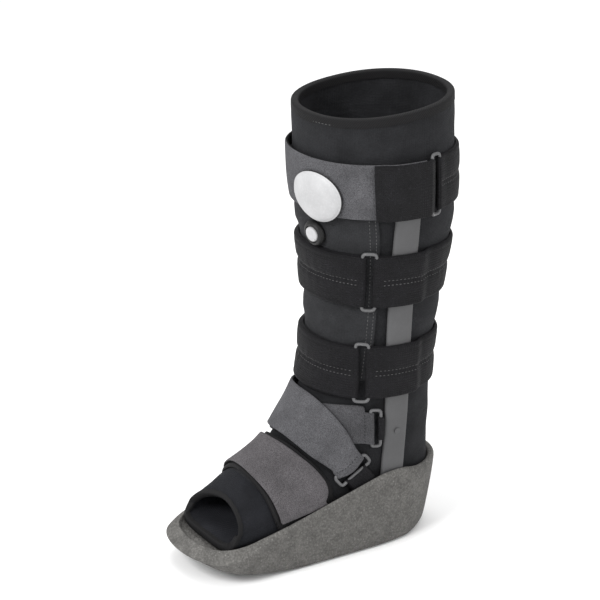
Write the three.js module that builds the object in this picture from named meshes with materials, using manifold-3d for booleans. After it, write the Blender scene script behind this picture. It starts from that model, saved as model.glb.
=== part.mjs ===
// A tall pneumatic walking boot for the left leg: a rocker sole, a padded open-toe liner,
// two side uprights and the straps that close it. Millimetres, +Z up, toes along -Y, lateral side +X.
// The origin is on the floor, under the middle of the shaft.
import * as THREE from "three";
import { mergeVertices } from "three/addons/utils/BufferGeometryUtils.js";
import Module from "manifold-3d";

const wasm = await Module();
wasm.setup();

// Driving dimensions of the liner
const rimHeight = 430; // front of the top edge above the floor
const rimRise = 13; // how much higher the back of the top edge is
const calfWidth = 149; // across the shaft at the top edge
const calfFront = 72; // from the shaft's middle forward, at the top edge
const calfBack = 77; // from the shaft's middle backward, at the top edge
const ankleHeight = 163; // where the shaft's front turns into the instep
const footWidth = 100; // across the foot
const toeReach = 182; // from the shaft's middle to the front of the foot bed
const heelReach = 58; // from the shaft's middle to the back of the heel
const linerWall = 6; // padded cloth
const soleThickness = 27.6; // floor to the foot bed, under the heel

// Driving dimensions of the sole
const soleLength = 280;
const soleToe = 210; // from the shaft's middle to the toe end
const soleWidth = 120;
const soleRim = 80; // height of the side wall beside the ankle
const toeRocker = 23; // how far the toe end curls up
const heelRocker = 13;
const heelFlare = 9; // how far the wall leans out from bottom to top at the heel
const toeFlare = 3.5;
const rimWidth = 13; // flat top of the wall before the foot bed's recess
const bedRecess = 4;

// Driving dimensions of the uprights
const uprightWidth = 25;
const uprightThickness = 4;
const uprightPlace = -4; // its middle, along Y
const uprightTop = 380;
const uprightFoot = 50;
const rivetDiameter = 6;
const rivetHeight = 1.6;

// Driving dimensions of the panel, straps and rings
const panelThickness = 2;
const panelTop = 384;
const panelBottom = 176;
const panelAngle = 61; // its side edges, in degrees from the front
const strapHeight = 53;
const bandThickness = 6; // two layers of padded strap
const sideThickness = 3.8; // one layer
const bandFold = -84; // where the folded layer ends on the medial side, in degrees
const topStrapTop = 393;
const middleStrapTop = 304;
const lowerStrapTop = 212;
const lowerLean = 7; // degrees that its columns turn from top to bottom, at the sides
const greyThickness = 3.4;
const tabThickness = 3.2;
const topRingAngle = 98; // the bar that the tab wraps
const topSeamAngle = -106; // where the grey front meets the black side strap
const tabEdgeAngle = 59; // free edge of the tab
const ringAngle = 48; // the bar that the middle and lower straps wrap
const ringWire = 3.2;
const ringSpan = 11; // between the middles of its two long bars
const ankleThickness = 3.2;
const padThickness = 3;
const forefootThickness = 3;
const noseThickness = 6.2; // of a strap's end where it wraps a ring's bar

// Driving dimensions of the pump and the valve
const bulbDiameter = 48;
const bulbHeight = 6;
const bulbAngle = 16;
const bulbHeightPlace = 358;
const valveDiameter = 25;
const valveHeight = 6;
const valveAngle = 7;
const valveHeightPlace = 317.5;
const buttonDiameter = 14.5;
const buttonHeight = 4;

// Clearances
const clearance = 0.4; // between hard pieces and between matching surfaces
const clothGap = 0.8; // between pieces whose facets don't match

const degree = Math.PI / 180;
const mix = (a, b, t) => a + (b - a) * t;
const clamp01 = (t) => Math.min(1, Math.max(0, t));
const ease = (t) => clamp01(t) ** 2 * (3 - 2 * clamp01(t));

// Sections of the liner, from the top edge to the toe opening. Each is a slanted plane through
// a front and a back point in the side view, and they fan round the ankle.
// rise: share of the shaft's height above the ankle; front and back: shares of the calf's reach;
// width: share of the calf's width.
const shaftRows = [
  { rise: 1.0, front: 0.98, back: 0.98, width: 0.98, lift: 1, arch: 2.2 },
  { rise: 0.86, front: 0.97, back: 1.0, width: 0.98, lift: 0.7, arch: 2.2 },
  { rise: 0.72, front: 0.94, back: 1.02, width: 0.975, lift: 0.3, arch: 2.2 },
  { rise: 0.58, front: 0.85, back: 1.0, width: 0.93, lift: 0, arch: 2.2 },
  { rise: 0.41, front: 0.77, back: 0.9, width: 0.85, lift: 0, arch: 2.2 },
  { rise: 0.24, front: 0.765, back: 0.83, width: 0.8, lift: 0, arch: 2.2 },
  { rise: 0.09, front: 0.8, back: 0.765, width: 0.765, lift: 0, arch: 2.2 },
];
// frontReach and backReach: shares of the toe's and, where positive, the heel's reach;
// top and low: shares of the ankle's height above the foot bed; width: share of the foot's width;
// arch and sole: squareness of the section's upper and lower half.
const footRows = [
  { frontReach: -0.35, top: 1.0, backReach: 0.98, low: 0.89, width: 1.12, arch: 2.1, sole: 2.3 },
  { frontReach: -0.42, top: 0.86, backReach: 0.98, low: 0.67, width: 1.09, arch: 2.0, sole: 2.3 },
  { frontReach: -0.5, top: 0.745, backReach: 1.0, low: 0.43, width: 1.04, arch: 1.95, sole: 2.4 },
  { frontReach: -0.545, top: 0.69, backReach: 1.0, low: 0.24, width: 1.0, arch: 1.9, sole: 2.6 },
  { frontReach: -0.59, top: 0.64, backReach: 0.88, low: 0.06, width: 0.96, arch: 1.85, sole: 2.8 },
  { frontReach: -0.63, top: 0.6, backReach: 0.43, low: 0.0, width: 0.94, arch: 1.8, sole: 3.2 },
  { frontReach: -0.675, top: 0.555, backReach: -0.1, low: 0.0, width: 0.95, arch: 1.72, sole: 3.6 },
  { frontReach: -0.75, top: 0.485, backReach: -0.4, low: 0.0, width: 0.98, arch: 1.68, sole: 4 },
  { frontReach: -0.815, top: 0.41, backReach: -0.7, low: 0.0, width: 1.0, arch: 1.68, sole: 4 },
  { frontReach: -0.88, top: 0.28, backReach: -1.0, low: 0.01, width: 0.94, arch: 1.7, sole: 4 },
];

const ankleRise = ankleHeight - soleThickness;
const alongFoot = (share) => share * (share < 0 ? toeReach : heelReach);
const linerRows = [
  ...shaftRows.map((row) => ({
    frontY: -row.front * calfFront,
    frontZ: mix(ankleHeight, rimHeight, row.rise),
    backY: row.back * calfBack,
    backZ: mix(ankleHeight, rimHeight, row.rise) + row.lift * rimRise,
    half: (row.width * calfWidth) / 2,
    arch: row.arch,
    sole: row.arch,
  })),
  ...footRows.map((row) => ({
    frontY: alongFoot(row.frontReach),
    frontZ: soleThickness + row.top * ankleRise,
    backY: alongFoot(row.backReach),
    backZ: soleThickness + row.low * ankleRise,
    half: (row.width * footWidth) / 2,
    arch: row.arch,
    sole: row.sole,
  })),
];
const lastStation = linerRows.length - 1;

// A value of the section table at any place between two rows, on a smooth curve through them.
function linerValue(key, station) {
  const i = Math.min(lastStation - 1, Math.max(0, Math.floor(station)));
  const at = (k) => linerRows[Math.min(lastStation, Math.max(0, k))][key];
  const t = station - i;
  const [a, b, c, d] = [at(i - 1), at(i), at(i + 1), at(i + 2)];
  const slopeB = (c - a) / 2;
  const slopeC = (d - b) / 2;
  const square = t * t;
  const cube = square * t;
  return (
    b * (2 * cube - 3 * square + 1) +
    slopeB * (cube - 2 * square + t) +
    c * (3 * square - 2 * cube) +
    slopeC * (cube - square)
  );
}

// A point of the liner's outer face: station counts the rows, angle runs from the front (0)
// over the lateral side (90 degrees) to the back (180).
function linerFace(station, angle) {
  const cosine = Math.cos(angle);
  const sine = Math.sin(angle);
  const power = 2 / linerValue(cosine < 0 ? "sole" : "arch", station);
  const forward = Math.sign(cosine) * Math.abs(cosine) ** power;
  const sideways = Math.sign(sine) * Math.abs(sine) ** power;
  const y = mix(linerValue("backY", station), linerValue("frontY", station), (1 + forward) / 2);
  const z = mix(linerValue("backZ", station), linerValue("frontZ", station), (1 + forward) / 2);
  return new THREE.Vector3(sideways * linerValue("half", station), y, z);
}

// The same point moved out along the face's normal.
function onLiner(station, angle, lift = 0) {
  const point = linerFace(station, angle);
  if (lift === 0) return point;
  const step = 0.02;
  const before = Math.max(0, station - step);
  const after = Math.min(lastStation, station + step);
  const along = linerFace(after, angle).sub(linerFace(before, angle));
  const around = linerFace(station, angle + step).sub(linerFace(station, angle - step));
  return point.addScaledVector(along.cross(around).normalize(), lift);
}

// The station and angle of the liner's side at a point (y, z) of the side view.
function placeAt(y, z) {
  let low = 0;
  let high = lastStation;
  for (let i = 0; i < 40; i++) {
    const middle = (low + high) / 2;
    const value = (key) => linerValue(key, middle);
    const alongY = value("backY") - value("frontY");
    const alongZ = value("backZ") - value("frontZ");
    const side = alongY * (z - value("frontZ")) - alongZ * (y - value("frontY"));
    if (side > 0) high = middle;
    else low = middle;
  }
  const value = (key) => linerValue(key, low);
  const alongY = value("backY") - value("frontY");
  const alongZ = value("backZ") - value("frontZ");
  const share = ((y - value("frontY")) * alongY + (z - value("frontZ")) * alongZ) /
    (alongY ** 2 + alongZ ** 2);
  const forward = THREE.MathUtils.clamp(1 - 2 * share, -1, 1);
  const square = value(forward < 0 ? "sole" : "arch");
  const cosine = Math.sign(forward) * Math.abs(forward) ** (square / 2);
  return { station: low, angle: Math.acos(cosine) };
}

// The station at which the liner's face, at one angle, is at a height.
function stationAt(angle, z) {
  let low = 0;
  let high = shaftRows.length + 3; // below this the face no longer falls along every angle
  for (let i = 0; i < 40; i++) {
    const middle = (low + high) / 2;
    if (linerFace(middle, angle).z > z) low = middle;
    else high = middle;
  }
  return low;
}

// Solids from points
function solidMesh(points, faces) {
  const positions = new Float32Array(points.flatMap((p) => [p.x, p.y, p.z]));
  let volume = 0;
  for (const [a, b, c] of faces) {
    volume += points[a].dot(new THREE.Vector3().crossVectors(points[b], points[c]));
  }
  const index = faces.flatMap(([a, b, c]) => (volume < 0 ? [a, c, b] : [a, b, c]));
  const geometry = new THREE.BufferGeometry();
  geometry.setAttribute("position", new THREE.BufferAttribute(positions, 3));
  geometry.setIndex(index);
  return geometry;
}

// A sheet with a wall: two grids of points, inner and outer, joined round their border.
function sheetSolid(inner, outer) {
  const rows = inner.length;
  const columns = inner[0].length;
  const points = [...inner.flat(), ...outer.flat()];
  const at = (layer, i, j) => layer * rows * columns + i * columns + j;
  const faces = [];
  const quad = (a, b, c, d) => faces.push([a, b, c], [a, c, d]);
  for (let i = 0; i < rows - 1; i++) {
    for (let j = 0; j < columns - 1; j++) {
      quad(at(1, i, j), at(1, i + 1, j), at(1, i + 1, j + 1), at(1, i, j + 1));
      quad(at(0, i, j), at(0, i, j + 1), at(0, i + 1, j + 1), at(0, i + 1, j));
    }
    quad(at(0, i, 0), at(0, i + 1, 0), at(1, i + 1, 0), at(1, i, 0));
    const end = columns - 1;
    quad(at(0, i, end), at(1, i, end), at(1, i + 1, end), at(0, i + 1, end));
  }
  for (let j = 0; j < columns - 1; j++) {
    quad(at(0, 0, j), at(1, 0, j), at(1, 0, j + 1), at(0, 0, j + 1));
    const end = rows - 1;
    quad(at(0, end, j), at(0, end, j + 1), at(1, end, j + 1), at(1, end, j));
  }
  return solidMesh(points, faces);
}

// Closed loops of equal length, one after the other. Without caps the last joins the first,
// which leaves a tunnel. A cap joins each point to its mirror in the same loop.
function loopSolid(loops, capped) {
  const size = loops[0].length;
  const faces = [];
  const spans = capped ? loops.length - 1 : loops.length;
  for (let k = 0; k < spans; k++) {
    const next = ((k + 1) % loops.length) * size;
    for (let i = 0; i < size; i++) {
      const j = (i + 1) % size;
      faces.push([k * size + i, k * size + j, next + j], [k * size + i, next + j, next + i]);
    }
  }
  if (capped) {
    capFaces(size, 0, false).forEach((face) => faces.push(face));
    capFaces(size, (loops.length - 1) * size, true).forEach((face) => faces.push(face));
  }
  return solidMesh(loops.flat(), faces);
}

function capFaces(size, first, turned) {
  const faces = [];
  for (let i = 0; i < size / 2; i++) {
    const [a, b] = [i, i + 1];
    const [c, d] = [(size - i - 1) % size, (size - i) % size];
    if (b !== c) faces.push([a, c, b]);
    if (a !== d) faces.push([a, d, c]);
  }
  return faces.map((face) => {
    const [a, b, c] = face.map((i) => first + i);
    return turned ? [a, c, b] : [a, b, c];
  });
}

// Joins and cuts
function toManifold(geometry) {
  const bare = geometry.clone();
  bare.deleteAttribute("normal");
  bare.deleteAttribute("uv");
  const merged = mergeVertices(bare, 1e-4);
  return new wasm.Manifold(
    new wasm.Mesh({
      numProp: 3,
      vertProperties: merged.attributes.position.array,
      triVerts: new Uint32Array(merged.index.array),
    }),
  );
}

function toGeometry(solid) {
  const mesh = solid.getMesh();
  const geometry = new THREE.BufferGeometry();
  geometry.setAttribute("position", new THREE.BufferAttribute(mesh.vertProperties.slice(), 3));
  geometry.setIndex(Array.from(mesh.triVerts));
  return geometry;
}

function cut(geometry, ...tools) {
  let solid = toManifold(geometry);
  for (const tool of tools) solid = solid.subtract(toManifold(tool));
  return toGeometry(solid);
}

// Liner
const linerTurns = 24;
function linerLoop(station, lift) {
  const loop = [];
  for (let i = 0; i < linerTurns; i++) {
    loop.push(onLiner(station, (i / linerTurns) * 2 * Math.PI, lift));
  }
  return loop;
}

// One loop a row on the shaft, two a row from the ankle on.
const shaftEnd = shaftRows.length - 1;
const linerStations = linerRows.flatMap((row, i) => (i < shaftEnd || i === lastStation ? [i] : [i, i + 0.5]));

function makeLiner() {
  const outside = linerStations.map((k) => linerLoop(k, 0));
  const inside = linerStations.map((k) => linerLoop(k, -linerWall)).reverse();
  return loopSolid([...outside, ...inside], false);
}

// The liner's outer form as one body, grown on all sides.
function linerEnvelope(lift) {
  const loops = linerStations.map((k) => linerLoop(k, lift));
  const toe = linerLoop(lastStation, lift).map((p) => p.add(new THREE.Vector3(0, -lift * 4, 0)));
  return loopSolid([...loops, toe], true);
}

// Sole: half widths and rim heights along the sole, as shares of its length from the toe,
// its width and its rim height.
const soleRows = [
  { along: 0.0, half: 0.495, rim: 0.41, shoulder: 1 },
  { along: 0.08, half: 0.495, rim: 0.42, shoulder: 1 },
  { along: 0.17, half: 0.5, rim: 0.48, shoulder: 0.6 },
  { along: 0.27, half: 0.5, rim: 0.585, shoulder: 0 },
  { along: 0.48, half: 0.5, rim: 0.79, shoulder: 0 },
  { along: 0.69, half: 0.5, rim: 0.99, shoulder: 0 },
  { along: 0.77, half: 0.485, rim: 1.0, shoulder: 0 },
  { along: 0.83, half: 0.455, rim: 0.94, shoulder: 0 },
  { along: 0.9, half: 0.41, rim: 0.905, shoulder: 0 },
  { along: 1.0, half: 0.385, rim: 0.93, shoulder: 0 },
];
const soleSteps = 17;
const toeRound = 0.2; // share of the length that the toe's rounding takes
const heelRound = 0.19;
const toeSquare = 3.6;
const heelSquare = 2.3;
const toeShoulderDrop = 9;
const rimShoulderDrop = 2.5;
const toeShoulderWidth = 12;
const rimShoulderWidth = 3;
const bottomRound = 4;
const toeBend = 0.4; // share of the length, from the toe, where the rocker starts
const heelBend = 0.2; // the same, from the heel

function soleValue(key, along) {
  const next = soleRows.findIndex((row) => row.along >= along && row.along > 0);
  const [a, b] = [soleRows[next - 1], soleRows[next]];
  const t = ease((along - a.along) / (b.along - a.along));
  return mix(a[key], b[key], mix(t, (along - a.along) / (b.along - a.along), 0.6));
}

function soleRounding(along) {
  if (along < toeRound) return Math.sqrt(1 - (1 - along / toeRound) ** toeSquare);
  const fromHeel = 1 - along;
  if (fromHeel < heelRound) return Math.sqrt(1 - (1 - fromHeel / heelRound) ** heelSquare);
  return 1;
}

function soleBottom(along) {
  if (along < toeBend) return toeRocker * (1 - along / toeBend) ** 1.9;
  if (1 - along < heelBend) return heelRocker * (1 - (1 - along) / heelBend) ** 1.8;
  return 0;
}

// The sole's outline seen from above: toe tip, lateral side, heel tip, medial side.
function soleOutline() {
  const outline = [];
  for (let i = 0; i < 2 * soleSteps; i++) {
    const along = clamp01((1 - Math.cos((Math.PI * i) / soleSteps)) / 2);
    const side = i < soleSteps ? 1 : -1;
    const half = soleValue("half", along) * soleRounding(along) * soleWidth;
    outline.push({ x: side * half, y: along * soleLength - soleToe, along });
  }
  return outline;
}

// A copy of the outline moved in by an inset and set at a height, both functions of the place.
function soleLoop(outline, inset, height) {
  return outline.map((point, i) => {
    const before = outline[(i + outline.length - 1) % outline.length];
    const after = outline[(i + 1) % outline.length];
    const [dx, dy] = [after.x - before.x, after.y - before.y];
    const size = Math.hypot(dx, dy);
    const x = point.x - (dy / size) * inset(point.along);
    const y = point.y + (dx / size) * inset(point.along);
    const along = clamp01((y + soleToe) / soleLength);
    return new THREE.Vector3(x, y, height(along));
  });
}

function makeSole(tools) {
  const outline = soleOutline();
  const flare = (along) => mix(toeFlare, heelFlare, along);
  const rim = (along) => soleValue("rim", along) * soleRim;
  const shoulderWidth = (along) => mix(rimShoulderWidth, toeShoulderWidth, soleValue("shoulder", along));
  const shoulderDrop = (along) => mix(rimShoulderDrop, toeShoulderDrop, soleValue("shoulder", along));
  const body = loopSolid([
    soleLoop(outline, (along) => flare(along) + bottomRound, soleBottom),
    soleLoop(outline, flare, (along) => soleBottom(along) + bottomRound),
    soleLoop(outline, (along) => flare(along) * 0.3, (along) => mix(soleBottom(along), rim(along), 0.5)),
    soleLoop(outline, () => 0, (along) => rim(along) - shoulderDrop(along)),
    soleLoop(outline, shoulderWidth, rim),
    soleLoop(outline, () => rimWidth, rim),
    soleLoop(outline, () => rimWidth + bedRecess / 2, (along) => rim(along) - bedRecess),
  ], true);
  return cut(body, ...tools);
}

// Uprights: a strip that follows the liner's side, from inside the sole's wall to the top strap.
function makeUpright(side, grow = 0) {
  const levels = 9;
  const across = 3;
  const grids = [clothGap - grow, clothGap + uprightThickness + grow].map((lift) => {
    const grid = [];
    for (let i = 0; i <= levels; i++) {
      const z = mix(uprightFoot - grow, uprightTop + grow, i / levels);
      const row = [];
      for (let j = 0; j <= across; j++) {
        const y = uprightPlace + (uprightWidth / 2 + grow) * (j / across * 2 - 1);
        const place = placeAt(y, z);
        row.push(onLiner(place.station, side * place.angle, lift));
      }
      grid.push(row);
    }
    return grid;
  });
  return sheetSolid(grids[0], grids[1]);
}

// Straps
// Profiles across a strap: how full it is from its lower to its upper edge.
const ribbed = [
  { across: 0, full: 0.55 },
  { across: 0.18, full: 1 },
  { across: 0.5, full: 0.75 },
  { across: 0.82, full: 1 },
  { across: 1, full: 0.55 },
];
const level = [
  { across: 0, full: 0.6 },
  { across: 0.1, full: 1 },
  { across: 0.9, full: 1 },
  { across: 1, full: 0.6 },
];
const curved = [
  { across: 0, full: 0.6 },
  { across: 0.12, full: 1 },
  { across: 0.5, full: 1 },
  { across: 0.88, full: 1 },
  { across: 1, full: 0.6 },
];
// The rounded end of a strap: how far a column is from the end, as a share of half the
// thickness there, and how much of the thickness it has.
const noseColumns = [
  { inset: 1, full: 1 },
  { inset: 0.3, full: 0.72 },
  { inset: 0, full: 0.25 },
];

// Angles from one to another, at most a step apart.
function spread(from, to, step) {
  const count = Math.max(1, Math.ceil(Math.abs(to - from) / step));
  return Array.from({ length: count + 1 }, (_, i) => mix(from, to, i / count));
}

const turnStep = 11 * degree;

// How far a strap's inner face stands off the liner: over the front panel as far as the uprights,
// higher over the uprights, and not at all behind them.
const uprightMargin = 4;
const uprightRamp = 9;
const panelLift = panelThickness + clothGap;
const uprightLift = uprightThickness + clothGap;
function underlay(y) {
  const edge = uprightWidth / 2 + uprightMargin + uprightRamp;
  const overUpright = clamp01((edge - Math.abs(y - uprightPlace)) / uprightRamp);
  return mix(y < uprightPlace ? panelLift : 0, uprightLift, overUpright);
}

// The angles at which the underlay starts or ends a ramp, at a height.
function rampAngles(z) {
  const half = uprightWidth / 2 + uprightMargin;
  const offsets = [-half - uprightRamp, -half, half, half + uprightRamp];
  const side = offsets.map((dy) => placeAt(uprightPlace + dy, z).angle);
  const turns = [-2 * Math.PI, 0, 2 * Math.PI];
  return turns.flatMap((turn) => side.flatMap((angle) => [turn + angle, turn - angle]));
}

// Angles from one to another, about a step apart, with one at each end of a ramp.
function strapAngles(from, to, z) {
  const fixed = rampAngles(z).filter((a) => (a - from) * (a - to) < 0);
  const closest = 1.5 * degree;
  const apart = (a, others) => others.every((b) => Math.abs(a - b) > closest);
  const inside = fixed.filter((a) => apart(a, [from, to]));
  const plain = spread(from, to, turnStep).slice(1, -1).filter((a) => apart(a, inside));
  const sign = Math.sign(to - from);
  return [from, ...[...inside, ...plain].sort((a, b) => sign * (a - b)), to];
}

// A strap from columns. Each column has a place at its lower and its upper edge, the lift of its
// inner face at each place, its thickness and how full it is.
function strapSolid(columns, profile) {
  const grids = [[], []];
  columns.forEach((column) => {
    const rows = profile.map(({ across, full }) => {
      const station = mix(column.lower.station, column.upper.station, across);
      const angle = mix(column.lower.angle, column.upper.angle, across);
      const base = column.base(station, angle);
      const middle = base + column.thickness / 2;
      const half = (column.thickness / 2) * column.full;
      const outer = middle - column.thickness / 2 + column.thickness * full;
      return [
        onLiner(station, angle, middle - half),
        onLiner(station, angle, mix(middle, Math.max(outer, middle + 0.1), column.full)),
      ];
    });
    grids[0].push(rows.map((pair) => pair[0]));
    grids[1].push(rows.map((pair) => pair[1]));
  });
  return sheetSolid(grids[0], grids[1]);
}

// Millimetres along the girth of the shaft at an angle, as radians.
function girth(millimetres, angle, z) {
  const station = stationAt(angle, z);
  const step = 0.02;
  const arc = linerFace(station, angle + step).distanceTo(linerFace(station, angle - step));
  return (millimetres * 2 * step) / arc;
}

const onCloth = (lift = 0) => (station, angle) =>
  clothGap + lift + underlay(linerFace(station, angle).y);

// A column of a level strap round the shaft. Low on the shaft the sections slant, and the lean
// turns the column's ends so that it still stands upright at the sides.
function levelColumn(angle, top, lean, base, thickness, full = 1) {
  const turn = (lean / 2) * Math.sin(angle);
  const place = (z, turned) => ({ station: stationAt(turned, z), angle: turned });
  return {
    lower: place(top - strapHeight, angle + turn),
    upper: place(top, angle - turn),
    base,
    thickness,
    full,
  };
}

// The rounded end of a level strap, from the full thickness to the tip.
function noseAngles(tip, direction, z) {
  return noseColumns.map(({ inset, full }) => ({
    angle: tip - direction * girth((inset * noseThickness) / 2, tip, z),
    full,
  }));
}

// A strap that starts at a ring, passes round the whole shaft and comes back to the ring.
function makeLoopStrap({ top, lean }) {
  const z = top - strapHeight / 2;
  const firstBar = ringAngle * degree;
  const secondBar = firstBar + girth(ringSpan, firstBar, z);
  const first = noseAngles(firstBar + girth(noseThickness / 2, firstBar, z), 1, z).reverse();
  const lastTip = secondBar - girth(noseThickness / 2, secondBar, z) - 2 * Math.PI;
  const last = noseAngles(lastTip, -1, z);
  const fold = bandFold * degree;
  const taper = 12 * degree;
  const column = (angle, thickness, full) =>
    levelColumn(angle, top, lean, onCloth(), thickness, full);
  const single = (angle) => {
    const share = clamp01(1 - Math.abs(angle - last[0].angle) / taper);
    return column(angle, mix(sideThickness, bandThickness, share));
  };
  const columns = [
    ...first.map(({ angle, full }) => column(angle, bandThickness, full)),
    ...strapAngles(first[2].angle, fold, z).slice(1).map((a) => column(a, bandThickness)),
    ...strapAngles(fold - 3 * degree, last[0].angle, z).slice(0, -1).map(single),
    ...last.map(({ angle, full }) => column(angle, bandThickness, full)),
  ];
  return strapSolid(columns, ribbed);
}

// Rings: a wire along a closed path.
function ringSolid(path, wire) {
  const quarter = path.length / 4;
  const across = (i) => path[(i + 2) * quarter % path.length].clone().sub(path[i * quarter]);
  const normal = across(0).cross(across(1)).normalize();
  const sides = 8;
  const loops = path.map((point, i) => {
    const before = path[(i + path.length - 1) % path.length];
    const after = path[(i + 1) % path.length];
    const outward = after.clone().sub(before).cross(normal).normalize();
    return Array.from({ length: sides }, (_, k) => {
      const turn = (k / sides) * 2 * Math.PI;
      return point.clone()
        .addScaledVector(outward, (wire / 2) * Math.cos(turn))
        .addScaledVector(normal, (wire / 2) * Math.sin(turn));
    });
  });
  return loopSolid(loops, false);
}

// Four corners, rounded, with a point in the middle of each side.
function ringPath(corners) {
  const cornerShare = 0.32; // of the ring's shorter side
  return corners.flatMap((corner, i) => {
    const before = corners[(i + 3) % 4];
    const after = corners[(i + 1) % 4];
    const reach = cornerShare * Math.min(corner.distanceTo(before), corner.distanceTo(after));
    const start = corner.clone().add(before.clone().sub(corner).setLength(reach));
    const end = corner.clone().add(after.clone().sub(corner).setLength(reach));
    const bend = new THREE.QuadraticBezierCurve3(start, corner, end).getPoints(2);
    return [...bend, corner.clone().lerp(after, 0.5)];
  });
}

// An upright ring on the shaft: two long bars, and a short one beyond each edge of its strap.
function makeShaftRing({ bar, top, lean, thickness }, grow = 0) {
  const middle = top - strapHeight / 2;
  const secondBar = bar + girth(ringSpan, bar, middle);
  const beyond = clothGap + ringWire / 2;
  const corner = (angle, share) => {
    const turned = angle + (share - 0.5) * lean * Math.sin(angle);
    const z = mix(top + beyond, top - strapHeight - beyond, share);
    const seat = onCloth(thickness / 2)(stationAt(angle, middle), angle);
    return onLiner(stationAt(turned, z), turned, seat);
  };
  const corners = [corner(bar, 1), corner(secondBar, 1), corner(secondBar, 0), corner(bar, 0)];
  return ringSolid(ringPath(corners), ringWire + 2 * grow);
}

// Top strap: a grey front, a black tab folded back from the ring, and a black side strap.
function makeTopFront() {
  const z = topStrapTop - strapHeight / 2;
  const end = (topRingAngle * degree) - girth(noseThickness / 2 + 3, topRingAngle * degree, z);
  const columns = strapAngles(topSeamAngle * degree, end, z).map((angle) =>
    levelColumn(angle, topStrapTop, 0, onCloth(), greyThickness));
  return strapSolid(columns, curved);
}

function makeTopTab() {
  const z = topStrapTop - strapHeight / 2;
  const bar = topRingAngle * degree;
  const nose = noseAngles(bar + girth(noseThickness / 2, bar, z), 1, z);
  const over = bar - girth(noseThickness / 2 + 2.4, bar, z);
  const start = tabEdgeAngle * degree;
  const columns = [
    ...strapAngles(start, over, z).map((angle) => levelColumn(
      angle, topStrapTop, 0, onCloth(greyThickness + clothGap), tabThickness)),
    ...nose.map(({ angle, full }) =>
      levelColumn(angle, topStrapTop, 0, onCloth(), noseThickness, full)),
  ];
  return strapSolid(columns, curved);
}

function makeTopSide() {
  const z = topStrapTop - strapHeight / 2;
  const bar = topRingAngle * degree + girth(ringSpan, topRingAngle * degree, z);
  const nose = noseAngles(bar - girth(noseThickness / 2, bar, z), -1, z).reverse();
  const seam = topSeamAngle * degree + 2 * Math.PI - girth(clothGap * 2, Math.PI, z);
  const taper = 12 * degree;
  const columns = [
    ...nose.map(({ angle, full }) =>
      levelColumn(angle, topStrapTop, 0, onCloth(), noseThickness, full)),
    ...strapAngles(nose[2].angle, seam, z).slice(1).map((angle) => levelColumn(
      angle, topStrapTop, 0, onCloth(),
      mix(sideThickness, noseThickness, clamp01(1 - (angle - nose[2].angle) / taper)))),
  ];
  return strapSolid(columns, curved);
}

// Front panel: the flap that closes the liner's front, under the calf straps.
function makePanel() {
  const rows = 7;
  const columns = spread(-panelAngle * degree, panelAngle * degree, turnStep);
  const grid = (lift) => columns.map((angle) => Array.from({ length: rows + 1 }, (_, j) => {
    const z = mix(panelBottom, panelTop, j / rows);
    return onLiner(stationAt(angle, z), angle, lift);
  }));
  return sheetSolid(grid(clothGap), grid(clothGap + panelThickness));
}

// Round pieces seated on a strap or on the panel: rings of points round a centre, on the face.
function roundPiece(angle, z, diameter, profile, base) {
  const sides = 16;
  const loops = profile.map(({ reach, height }) => Array.from({ length: sides }, (_, k) => {
    const turn = (k / sides) * 2 * Math.PI;
    const radius = (diameter / 2) * reach;
    const place = angle + girth(radius * Math.cos(turn), angle, z);
    return onLiner(stationAt(place, z + radius * Math.sin(turn)), place, base + height);
  }));
  return loopSolid(loops, true);
}

// The lift of a piece that lies on the front panel.
const onPanel = clothGap + panelThickness + clothGap;

const dome = (height) => [
  { reach: 0.93, height: 0 },
  { reach: 1, height: height * 0.12 },
  { reach: 0.98, height: height * 0.42 },
  { reach: 0.86, height: height * 0.74 },
  { reach: 0.6, height: height * 0.92 },
  { reach: 0.25, height },
];

function makeBulb() {
  const seat = onPanel + greyThickness + 1.5 * clothGap;
  return roundPiece(bulbAngle * degree, bulbHeightPlace, bulbDiameter, dome(bulbHeight), seat);
}

const wellDepth = 2.4;
function makeValveHousing() {
  const well = (buttonDiameter / 2 + clearance) / (valveDiameter / 2);
  const profile = [
    { reach: 0.94, height: 0 },
    { reach: 1, height: valveHeight * 0.35 },
    { reach: 0.86, height: valveHeight * 0.85 },
    { reach: 0.72, height: valveHeight },
    { reach: well, height: valveHeight },
    { reach: well, height: valveHeight - wellDepth },
  ];
  return roundPiece(valveAngle * degree, valveHeightPlace, valveDiameter, profile, onPanel);
}

function makeValveButton() {
  const seat = onPanel + valveHeight - wellDepth + clearance;
  return roundPiece(valveAngle * degree, valveHeightPlace, buttonDiameter, dome(buttonHeight), seat);
}

function makeRivet(side, z) {
  const place = placeAt(uprightPlace, z);
  const seat = clothGap + uprightThickness + clearance;
  const centre = onLiner(place.station, side * place.angle, seat);
  const outward = onLiner(place.station, side * place.angle, seat + 1).sub(centre);
  const profile = [
    new THREE.Vector2(0, 0),
    new THREE.Vector2(rivetDiameter / 2, 0),
    new THREE.Vector2(rivetDiameter * 0.42, rivetHeight * 0.6),
    new THREE.Vector2(rivetDiameter * 0.22, rivetHeight),
    new THREE.Vector2(0, rivetHeight),
  ];
  const geometry = new THREE.LatheGeometry(profile, 12);
  geometry.applyQuaternion(
    new THREE.Quaternion().setFromUnitVectors(new THREE.Vector3(0, 1, 0), outward.normalize()),
  );
  geometry.translate(centre.x, centre.y, centre.z);
  return geometry;
}

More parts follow.
